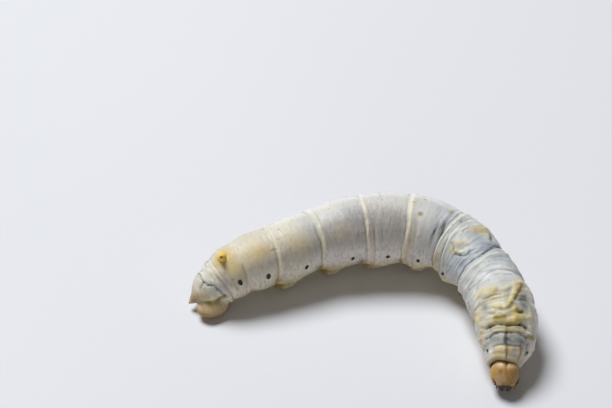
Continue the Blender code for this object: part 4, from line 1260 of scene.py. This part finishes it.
def make_skin():
    """One closed skin from the tail to the collar round the head, with the soft legs drawn out of it."""
    skin = Skin().build()
    points = skin_points(S, ANGLES, skin.height)
    for proleg in PROLEGS:
        for side, _ in SIDES:
            draw_proleg(points, skin, proleg, side)
    tail_end = shape_tail(points, skin)
    centre, along, _, right = (item[0] for item in frames_at(np.array([LENGTH])))
    reach, hug = (np.interp(ANGLES, [a for a, _ in table], [b for _, b in table])
                  for table in (COLLAR_REACH, COLLAR_HUG))
    near_head = smooth((S - LENGTH + COLLAR_START) / COLLAR_START)[:, None]
    points += (near_head * reach[None, :])[..., None] * along
    points += (near_head * near_head * hug[None, :])[..., None] * right
    collar = [centre + (points[-1] - centre) * scale + along * ahead for ahead, scale in COLLAR]
    grid = np.concatenate([points, np.array(collar)])
    rows = len(grid)
    tail = rows * COLUMNS
    everything = np.concatenate([grid.reshape(-1, 3), [tail_end, collar[-1].mean(axis=0)]])

    row = np.arange(rows - 1)[:, None] * COLUMNS
    column = np.arange(COLUMNS)[None, :]
    following = (column + 1) % COLUMNS
    quads = np.stack([row + column, row + following, row + COLUMNS + following, row + COLUMNS + column], -1)
    quads = quads.reshape(-1, 4)
    last = (rows - 1) * COLUMNS
    fans = [(j, tail, (j + 1) % COLUMNS) for j in range(COLUMNS)]
    fans += [(last + j, last + (j + 1) % COLUMNS, tail + 1) for j in range(COLUMNS)]
    obj = new_mesh_object("body_skin", everything, quads.tolist() + fans, [skin_material()])

    straight = np.concatenate([S, LENGTH + COLLAR_STEP * np.arange(1, len(COLLAR) + 1)])
    add_unwrapping(obj, straight / (LENGTH + 3), len(quads))
    for name, amount in skin.paint.items():
        inner = amount[-1][None, :] * np.array(COLLAR_PAINT)[:, None]
        if name in COLLAR_SHADE:
            inner = np.maximum(inner, np.array(COLLAR_SHADE[name])[:, None])
        values = np.concatenate([amount, inner]).ravel()
        add_values(obj, "paint_" + name, np.concatenate([values, [0.0, 0.0]]))
    radians = np.radians(ANGLES)
    plain = np.concatenate([RADIUS, np.full(len(COLLAR), RADIUS[-1])])
    unrolled = np.stack([
        np.repeat(straight, COLUMNS),
        (plain[:, None] * np.sin(radians)).ravel(),
        (plain[:, None] * np.cos(radians)).ravel(),
    ], -1)
    unrolled = np.concatenate([unrolled, [[0, 0, 0], [LENGTH, 0, 0]]])
    layer = obj.data.attributes.new("unrolled", "FLOAT_VECTOR", "POINT")
    layer.data.foreach_set("vector", unrolled.astype(np.float32).ravel())

    nodes = [part.name for part in SEGMENTS]
    for side_name in ("right", "left"):
        nodes += [f"proleg_{proleg.segment[8:]}_{side_name}" for proleg in PROLEGS]
        nodes.append(f"anal_proleg_{side_name}")
    finish_piece(obj, nodes)
    return skin


def add_unwrapping(obj, row_shares, quad_count):
    """Lay the skin's grid out flat, cut open along its first column."""
    u = np.concatenate([np.repeat(row_shares, COLUMNS), [0.0, 1.0]])
    v = np.concatenate([np.tile(np.arange(COLUMNS) / COLUMNS, len(row_shares)), [0.5, 0.5]])
    loops = np.empty(len(obj.data.loops), int)
    obj.data.loops.foreach_get("vertex_index", loops)
    loop_v = v[loops]
    quad_v = loop_v[:quad_count * 4].reshape(-1, 4)
    crossing = (np.ptp(quad_v, axis=1) > 0.5)[:, None]
    quad_v[crossing & (quad_v == 0)] = 1.0
    layer = obj.data.uv_layers.new(name="OFBake")
    layer.data.foreach_set("uv", np.stack([u[loops], loop_v], -1).astype(np.float32).ravel())


def add_values(obj, name, values):
    """Give a mesh a number for each point."""
    layer = obj.data.attributes.new(name, "FLOAT", "POINT")
    layer.data.foreach_set("value", np.asarray(values, np.float32))


def finish_piece(obj, nodes=()):
    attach(obj, BODY)
    if nodes:
        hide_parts(*nodes)


# Share of the full size, height over the skin, and material, and where the rim gives way to the plate
HOLE_STEPS = (
    (0.98, -0.30, 0), (1.0, 0.04, 0), (0.96, 0.10, 0), (0.90, 0.13, 0), (0.84, 0.13, 0),
    (0.80, 0.10, 1), (0.55, 0.12, 1), (0.30, 0.10, 1), (0.08, 0.07, 1),
)
HOLE_PLATE = 5
HOLE_SIDES = 24
HOLE_MIDDLE_HEIGHT = 0.06


def make_spiracles(skin):
    """Black breathing holes in brown rims, one mesh for both flanks."""
    rim = shell_material("spiracle rim", (92, 62, 34), (70, 46, 26), (40, 26, 16), 0.4)
    plate = shell_material("spiracle plate", (20, 18, 17), (28, 24, 22), (10, 9, 9), 0.5)
    shell = Shell()
    for hole in SPIRACLES:
        for side, _ in SIDES:
            place = place_of(hole.segment, hole.along)
            row = int(np.argmin(np.abs(S - place)))
            column = int(np.argmin(np.abs(angle_between(ANGLES, side * hole.angle))))
            point, normal, forward = on_skin(place, side * hole.angle, skin.height[row, column])
            across = normal.cross(forward)
            lean = math.radians(hole.tilt)
            upright = across * math.cos(lean) + forward * (side * math.sin(lean))
            level = forward * math.cos(lean) - across * (side * math.sin(lean))
            rings = [oval(point + normal * height, level, upright, hole.half_length * scale,
                          hole.half_height * scale, HOLE_SIDES) for scale, height, _ in HOLE_STEPS]
            shell.loft(rings[:HOLE_PLATE + 1], 0, close=False)
            shell.loft(rings[HOLE_PLATE:], 1, close=False)
            shell.cap(len(shell.points) - HOLE_SIDES, HOLE_SIDES, point + normal * HOLE_MIDDLE_HEIGHT, 1)
    finish_piece(shell.make("spiracles", [rim, plate]))


# The horn's radius at heights over its base, as a share of HORN_RADIUS, and where its brown tip starts
HORN_HEIGHTS = (-1.0, 0.0, 0.5, 1.0, 1.5, 1.8, 1.95)
HORN_SHARES = (1.45, 1.12, 0.80, 0.60, 0.46, 0.34, 0.10)
HORN_TIP = 1.68
HORN_RINGS = 44
HORN_SIDES = 28


def make_horn():
    """The short ringed horn on the tail's back, yellow with a brown tip."""
    place = place_of("abdomen_8", HORN_ALONG)
    base, _, _ = on_skin(place, 0, 0.2)
    direction = Vector(HORN_DIRECTION).normalized()
    forward = Vector(frames_at(np.array([place]))[1][0])
    across = direction.cross(forward).normalized()
    ahead = across.cross(direction).normalized()
    shell = Shell()
    rings = []
    tips = []
    for i in range(HORN_RINGS):
        height = -1.0 + (HORN_LENGTH + 0.95) * i / (HORN_RINGS - 1)
        ripple = 1 + 0.035 * math.sin(height * 16)
        radius = HORN_RADIUS * np.interp(height, HORN_HEIGHTS, HORN_SHARES) * ripple
        rings.append(oval(base + direction * height, ahead, across, radius, radius, HORN_SIDES))
        tips += [height] * HORN_SIDES
    shell.loft(rings)
    finish = Finish("horn")
    cloud, fine, colour = finish.clouds(finish.place(), 1.2, 6.0, 3.0, (240, 208, 96), (230, 192, 82))
    colour = finish.blend(finish.attribute("tip"), colour, (134, 92, 34))
    finish.raise_by(fine, 0.03)
    soften(finish.shader, 0.2, (1.0, 0.6, 0.3), 0.6)
    material = finish.done(colour, finish.ramp(cloud, 0.3, 0.7, 0.42, 0.55))
    obj = shell.make("horn_cone", [material])
    tips += [-1, HORN_LENGTH]
    add_values(obj, "tip", [float(smooth((height - HORN_TIP) / 0.25)) for height in tips])
    finish_piece(obj, ["horn"])


# Head

CAPSULE_RINGS = 84
CAPSULE_SIDES = 120
# The rings of an eye's socket: share of the eye's radius, and height over the head
EYE_SOCKET = ((1.25, -0.12), (1.2, 0.03), (1.02, 0.06), (0.9, 0.05))
EYE_SIDES = 20
DOME_RINGS = 6


def head_frame():
    """The head's centre, with vectors to its mouth, out of its face and to its right."""
    mouth, face, right = directions(np.radians(float(HEAD_HEADING)), np.radians(float(HEAD_DROP)))
    return Vector(HEAD_CENTRE), Vector(mouth), Vector(face), Vector(right)


HEAD = head_frame()


def in_head(x, y, z):
    """A point given to the right, out of the face and down to the mouth."""
    centre, mouth, face, right = HEAD
    return centre + right * x + face * y + mouth * z


def groove_depth(x, z):
    """The sutures: a line down the crown that forks into the borders of the frontal shield."""
    crown = bell(x / 0.11) * smooth((0.1 - z) / 0.3)
    fork = bell((abs(x) - 0.10 - 0.62 * (z + 0.1)) / 0.09)
    return float(crown + fork * smooth((z + 0.3) / 0.2) * smooth((1.45 - z) / 0.2))


def capsule_point(down, turn):
    """A point of the capsule, and how deep it lies in a suture."""
    d = math.radians(down)
    t = math.radians(turn)
    girth = math.sin(d) ** (CHEEK_FULLNESS if down > 90 else 1.0)
    x = HEAD_HALF_WIDTH * girth * math.sin(t)
    y = HEAD_HALF_DEPTH * girth * math.cos(t)
    z = -HEAD_HALF_LENGTH * math.cos(d)
    lobes = 0.16 * math.exp(-((abs(x) - 1.1) / 0.8) ** 2) * max(0.0, -z / HEAD_HALF_LENGTH)
    fade = max(0.0, min(1.0, (105 - down) / 40))
    valley = 0.16 * math.exp(-(x / 0.3) ** 2) * fade
    depth = groove_depth(x, z) if y > 0 else 0.0
    scale = 1 + (lobes - valley - 0.06 * depth) / HEAD_HALF_DEPTH
    return in_head(x * scale, y * scale, z * scale), depth, (x, y, z)


def blot(x, z, middle_x, middle_z, width, length):
    return bell((x - middle_x) / width) * bell((z - middle_z) / length)


def capsule_paint(down, depth, x, y, z):
    """How strongly each paint of the head lies at a place of the capsule."""
    front = float(y > 0)
    left_cheek = 0.42 * smooth((0.35 - x) / 0.5) * smooth((z + 1.25) / 0.5) * front
    brown = max(0.55 * blot(x, z, 0.83, -0.50, 0.36, 0.34) * front, left_cheek,
                0.60 * blot(x, z, -0.42, -0.35, 0.45, 0.40) * front)
    outer = 0.75 * smooth((x - 1.35) / 0.4) * smooth((z + 1) / 0.4) * (1 - smooth((z - 1.1) / 0.3))
    ochre = max(outer, 0.7 * blot(x, z, -0.85, 1.6, 0.42, 0.28) * front)
    return {
        # Painted highlights on the two upper lobes
        "crown": 0.75 * blot(x, z, 1.0, -1.5, 0.75, 0.5) + 0.5 * blot(x, z, -0.75, -1.15, 0.85, 0.28),
        "brown": 0.18 * depth + brown + 0.5 * smooth((0.3 - y) / 1.2) + 0.35 * smooth((-x - 1.55) / 0.35),
        # A painted lilac reflection low on the face
        "lilac_sheen": 0.65 * blot(x, z, 0.95, 0.75, 0.55, 0.5) * front,
        "ochre": ochre,
        # Painted shade darkening the capsule toward the mouth
        "dark": 0.95 * smooth((down - 132) / 10) * (1 - ochre),
    }


def make_head():
    """The capsule of two round lobes, open at the mouth behind its rim."""
    rings = []
    paints = {name: [] for name in HEAD_PAINTS}
    for down in np.linspace(2, MOUTH_RIM, CAPSULE_RINGS):
        ring = []
        for j in range(CAPSULE_SIDES):
            point, depth, (x, y, z) = capsule_point(down, -360 * j / CAPSULE_SIDES)
            ring.append(point)
            for name, value in capsule_paint(down, depth, x, y, z).items():
                paints[name].append(float(min(1.0, value)))
        rings.append(ring)
    shell = Shell()
    shell.loft(rings)
    material = head_material()
    capsule = shell.make("head_capsule", [material])
    for name, values in paints.items():
        add_values(capsule, name, values + [values[0], values[-1]])
    finish_piece(capsule, ["head"])
    return material


def make_eyes():
    """Six simple eyes on each cheek, as glassy domes in dark rings."""
    glass = shell_material("eye", (22, 14, 10), (30, 18, 12), (8, 6, 5), 0.12, 0.0)
    ring_material = shell_material("eye ring", (84, 52, 22), (66, 40, 16), (40, 24, 10), 0.35)
    shell = Shell()
    centre = HEAD[0]
    for side, _ in SIDES:
        for down, turn in EYES:
            point, _, _ = capsule_point(down, side * turn)
            normal = (point - centre).normalized()
            across = normal.orthogonal().normalized()
            other = normal.cross(across)
            rings = [oval(point + normal * height, across, other, EYE_RADIUS * share, EYE_RADIUS * share,
                          EYE_SIDES) for share, height in EYE_SOCKET]
            shell.loft(rings, 1, close=False)
            dome = []
            for i in range(DOME_RINGS):
                swing = math.radians(12 + 78 * (1 - i / (DOME_RINGS - 1)))
                middle = point + normal * (0.03 + 0.11 * math.cos(swing))
                radius = EYE_RADIUS * 0.9 * math.sin(swing)
                dome.append(oval(middle, across, other, radius, radius, EYE_SIDES))
            shell.loft(dome, 0)
    obj = shell.make("simple_eyes", [glass, ring_material])
    finish_piece(obj, ["head"])


PLATE_THICKNESS = 0.35
PLATE_RINGS = 14
SIDES_ROUND = 36


def face_plate(shell, outline, surface):
    """A domed plate over a mirrored outline of (half width, z) rows, with rolled edges."""
    zs = np.linspace(outline[0][1], outline[-1][1], PLATE_RINGS)
    halves = fair([z for _, z in outline], [half for half, _ in outline], zs)
    rings = []
    for half, z in zip(halves, zs):
        ring = []
        for j in range(SIDES_ROUND):
            turn = 2 * math.pi * j / SIDES_ROUND
            x = half * math.cos(turn)
            edge = abs(math.cos(turn)) ** 6
            front = math.sin(turn) > 0
            y = surface(x, z) - (0 if front else PLATE_THICKNESS) - 0.06 * edge * (1 if front else -1)
            ring.append(in_head(x, y + 0.04 * math.sin(turn), z))
        rings.append(ring)
    shell.loft(rings)


# How strongly a paint of the head lies on the upper lip, and how far down the face it starts
# As on the capsule, the dark toward the lip's lower edge is painted shade at the mouth
LIP_PAINTS = {"brown": (0.45, 0.5), "dark": (1.0, 1.35)}
MOUTH_TOP = MOUTH_LEVEL + 0.15
JAW_RINGS = 14
# Each ring's place along the feeler and its radius
FEELER_JOINTS = (
    (-0.15, 0.16), (0.04, 0.17), (0.16, 0.16), (0.19, 0.11), (0.22, 0.12),
    (0.36, 0.12), (0.40, 0.09), (0.43, 0.07), (0.54, 0.06), (0.58, 0.025),
)
# The spinneret and the palps: place to the right, radius and length
LIP_PEGS = ((0.0, 0.16, 0.60), (0.48, 0.18, 0.52), (-0.48, 0.18, 0.52))


def make_upper_lip(finish):
    """The frontal shield and the upper lip."""
    plates = Shell()
    face_plate(plates, ((0.50, 0.92), (0.68, 1.10), (0.76, 1.35), (0.70, 1.62)),
               lambda x, z: 1.96 + 0.10 * smooth((z - 0.9) / 0.4) - 0.15 * z * z - 0.15 * x * x)
    face_plate(plates, ((0.54, 1.50), (0.62, 1.70), (0.58, 1.92), (0.42, 2.12)),
               lambda x, z: 2.08 - 0.3 * z - 0.2 * x * x)
    obj = plates.make("upper_lip", [finish])
    depths = [float((Vector(point) - HEAD[0]).dot(HEAD[1])) for point in plates.points]
    for name in HEAD_PAINTS:
        amount, start = LIP_PAINTS.get(name, (0.0, 0.0))
        add_values(obj, name, [float(amount * smooth((z - start) / 0.3)) for z in depths])
    finish_piece(obj, ["head"])


def make_jaw(side, side_name, finish):
    """A toothed jaw that narrows and leans in toward its tip."""
    rings = []
    for share in np.linspace(0, 1, JAW_RINGS):
        wide = 0.42 - 0.20 * share ** 1.5
        deep = 0.34 - 0.16 * share
        ring = []
        for j in range(SIDES_ROUND):
            turn = 2 * math.pi * j / SIDES_ROUND
            tooth = 0.10 * abs(math.sin(2.5 * turn)) * smooth((share - 0.6) / 0.4)
            x = side * (0.62 - 0.18 * share) + wide * math.cos(turn)
            ring.append(in_head(x, 0.12 + deep * math.sin(turn), MOUTH_TOP + 0.66 * share - float(tooth)))
        rings.append(ring)
    jaw = Shell()
    jaw.loft(rings)
    finish_piece(jaw.make(f"jaw_{side_name}", [finish]), [f"mandible_{side_name}"])


def make_feeler(side, side_name, finish):
    """A short jointed feeler with two bristles."""
    feeler = Shell()
    root = in_head(side * 1.22, 0.62, MOUTH_LEVEL - 0.05)
    ahead = (in_head(side * 1.42, 0.82, MOUTH_LEVEL + 0.9) - root).normalized()
    places, radii = zip(*FEELER_JOINTS)
    tube(feeler, [root + ahead * place for place in places], radii, 20)
    for turn in (-0.5, 0.5):
        start = root + ahead * 0.38
        end = root + ahead * 0.68 + HEAD[3] * (0.10 * turn)
        tube(feeler, [start, start.lerp(end, 0.5), end], [0.03, 0.02, 0.006], 8)
    obj = feeler.make(f"feeler_{side_name}", [finish])
    finish_piece(obj, [f"antenna_{side_name}"])


def make_lower_lip(finish):
    """The lower lip with its palps and spinneret."""
    lip = Shell()
    rings = []
    for share in np.linspace(0, 1, 10):
        middle = in_head(0, -0.72, MOUTH_TOP + 0.42 * share)
        scale = 1 - 0.28 * share ** 2
        rings.append(oval(middle, HEAD[3], HEAD[2], 0.82 * scale, 0.40 * scale, SIDES_ROUND))
    lip.loft([list(reversed(ring)) for ring in rings])
    for x, radius, low in LIP_PEGS:
        joints = ((0.30, 1.0), (0.38, 1.05), (0.44, 0.85), (low - 0.05, 0.8), (low, 0.35))
        middles = [in_head(x, -0.61, MOUTH_TOP + z) for z, _ in joints]
        tube(lip, middles, [radius * share for _, share in joints], 18)
    finish_piece(lip.make("lower_lip_plate", [finish]), ["lower_lip"])


def make_mouth(head_finish):
    """The mouth parts and the feelers."""
    shell_finish = shell_material("mouth shell", (166, 126, 74), (144, 104, 56), (84, 56, 28), 0.38)
    jaw_finish = shell_material("jaw", (46, 28, 14), (34, 20, 10), (16, 9, 5), 0.28)
    make_upper_lip(head_finish)
    for side, side_name in SIDES:
        make_jaw(side, side_name, jaw_finish)
        make_feeler(side, side_name, shell_finish)
    make_lower_lip(shell_finish)


# Jointed legs

# Share of the way from root to foot, and radius: three barrels between narrow joints
LEG_PROFILE = (
    (0.00, 0.98), (0.10, 0.96), (0.22, 0.88), (0.30, 0.70), (0.33, 0.66), (0.37, 0.74), (0.45, 0.77),
    (0.53, 0.70), (0.58, 0.56), (0.61, 0.54), (0.65, 0.60), (0.72, 0.58), (0.78, 0.48), (0.81, 0.38),
    (0.85, 0.38), (0.90, 0.31), (0.93, 0.20),
)
LEG_SIDES = 28
CLAW_SWING = 100
CLAW_REACH = 0.22
CLAW_DROP = 0.30
CLAW_CLEARANCE = 0.08


def make_legs():
    """Six short jointed legs, each ending in a curved claw."""
    leg_finish = shell_material("leg shell", (186, 146, 84), (168, 124, 62), (120, 80, 34), 0.42)
    claw_finish = shell_material("claw", (62, 38, 18), (48, 28, 14), (24, 14, 8), 0.28)
    shares = np.linspace(0, LEG_PROFILE[-1][0], 40)
    radii = fair(*zip(*LEG_PROFILE), shares)
    for number, place in enumerate(THORACIC_LEGS, 1):
        floor, forward, right = map(Vector, level_frame(place_of(place.segment, place.along)))
        for side, side_name in SIDES:
            root = floor + right * side * place.root_offset + Vector((0, 0, place.root_height))
            foot = floor + right * side * place.foot_offset + forward * place.forward
            bows = right * side * LEG_BOW
            middles = [root.lerp(foot, float(k)) + bows * math.sin(math.pi * k) for k in shares]
            leg = Shell()
            tube(leg, middles, radii, LEG_SIDES)
            obj = leg.make(f"jointed_leg_{number}_{side_name}", [leg_finish])
            finish_piece(obj, [f"thoracic_leg_{number}_{side_name}"])
            make_claw(middles[-1], right * side, f"claw_{number}_{side_name}", claw_finish)


def make_claw(start, outward, name, finish):
    """A claw that curves down and in from the end of a leg, clear of the floor."""
    middles = []
    radii = []
    for share in np.linspace(0, 1, 12):
        swing = math.radians(CLAW_SWING * share)
        inward = outward * -CLAW_REACH * (1 - math.cos(swing))
        drop = min(CLAW_DROP * math.sin(swing), start.z - CLAW_CLEARANCE)
        middles.append(start + inward - Vector((0, 0, drop)))
        radii.append(0.17 * (1 - share) ** 0.7 + 0.015)
    claw = Shell()
    tube(claw, middles, radii, 14)
    finish_piece(claw.make(name, [finish]))


# Root, knee and tip of a hook: share of the sole's half size, height and radius
HOOK = ((1.0, 0.16, 0.035), (1.02, 0.05, 0.03), (1.16, 0.05, 0.008))


def make_crochets():
    """Rows of tiny brown hooks round the inner rims of the soles."""
    shell = Shell()
    for proleg in PROLEGS:
        floor, forward, right = level_frame(place_of(proleg.segment, proleg.along))
        for side, _ in SIDES:
            sole = floor + right * side * PROLEG_SOLE_OFFSET - forward * proleg.back
            for turn in np.radians(np.linspace(195, 345, 15)):
                outward = Vector(forward * math.cos(turn) * 0.98 + right * side * math.sin(turn) * 0.78)
                reaches, heights, radii = zip(*HOOK)
                middles = [Vector(sole) + outward * reach + Vector((0, 0, height))
                           for reach, height in zip(reaches, heights)]
                tube(shell, middles, radii, 6)
    finish = shell_material("hooks", (70, 42, 18), (56, 32, 14), (30, 18, 8), 0.35)
    finish_piece(shell.make("sole_hooks", [finish]))


# Stage

FOCAL_LENGTH = 85.0
CAMERA_DISTANCE = 0.244
CAMERA_ELEVATION = 42.0
CAMERA_TARGET = Vector((-0.00825, 0.0249, 0.0))
FLOOR_HALF = 3000.0
# Place, size, power and colour of each lamp
LAMPS = {
    "key": ((-0.400, 0.500, 1.090), 0.62, 16.7, (0.975, 0.985, 1.0)),
    "fill": ((0.02, -0.62, 0.16), 0.60, 0.70, (1.0, 0.965, 0.92)),
}
ROOM_COLOUR = (1.0, 0.91, 0.82, 1.0)
ROOM_STRENGTH = 0.11


def make_camera():
    data = bpy.data.cameras.new("camera")
    data.lens = FOCAL_LENGTH
    data.sensor_width = 36.0
    data.clip_start = 0.01
    data.clip_end = 20.0
    camera = bpy.data.objects.new("camera", data)
    bpy.context.scene.collection.objects.link(camera)
    elevation = math.radians(CAMERA_ELEVATION)
    back = Vector((0.0, -math.cos(elevation), math.sin(elevation)))
    camera.location = CAMERA_TARGET + back * CAMERA_DISTANCE
    camera.rotation_euler = (-back).to_track_quat("-Z", "Y").to_euler()
    bpy.context.scene.camera = camera


def area_light(name, place, size, power, colour):
    data = bpy.data.lights.new(name, "AREA")
    data.shape = "DISK"
    data.size = size
    data.energy = power
    data.color = colour
    light = bpy.data.objects.new(name, data)
    bpy.context.scene.collection.objects.link(light)
    light.location = Vector(place)
    light.rotation_euler = Vector(place).to_track_quat("Z", "Y").to_euler()


def make_stage():
    corners = [(x * FLOOR_HALF, y * FLOOR_HALF, 0) for x, y in ((-1, -1), (1, -1), (1, 1), (-1, 1))]
    floor = new_mesh_object("floor", corners, [(0, 1, 2, 3)], [floor_material()])
    for name, lamp in LAMPS.items():
        area_light(name, *lamp)
    world = bpy.data.worlds.new("studio")
    world.use_nodes = True
    background = world.node_tree.nodes["Background"]
    background.inputs["Color"].default_value = ROOM_COLOUR
    background.inputs["Strength"].default_value = ROOM_STRENGTH
    bpy.context.scene.world = world
    bpy.context.scene.view_settings.view_transform = "Standard"


def make_all():
    make_camera()
    make_stage()
    skin = make_skin()
    make_spiracles(skin)
    make_horn()
    head_finish = make_head()
    make_eyes()
    make_mouth(head_finish)
    make_legs()
    make_crochets()


make_all()
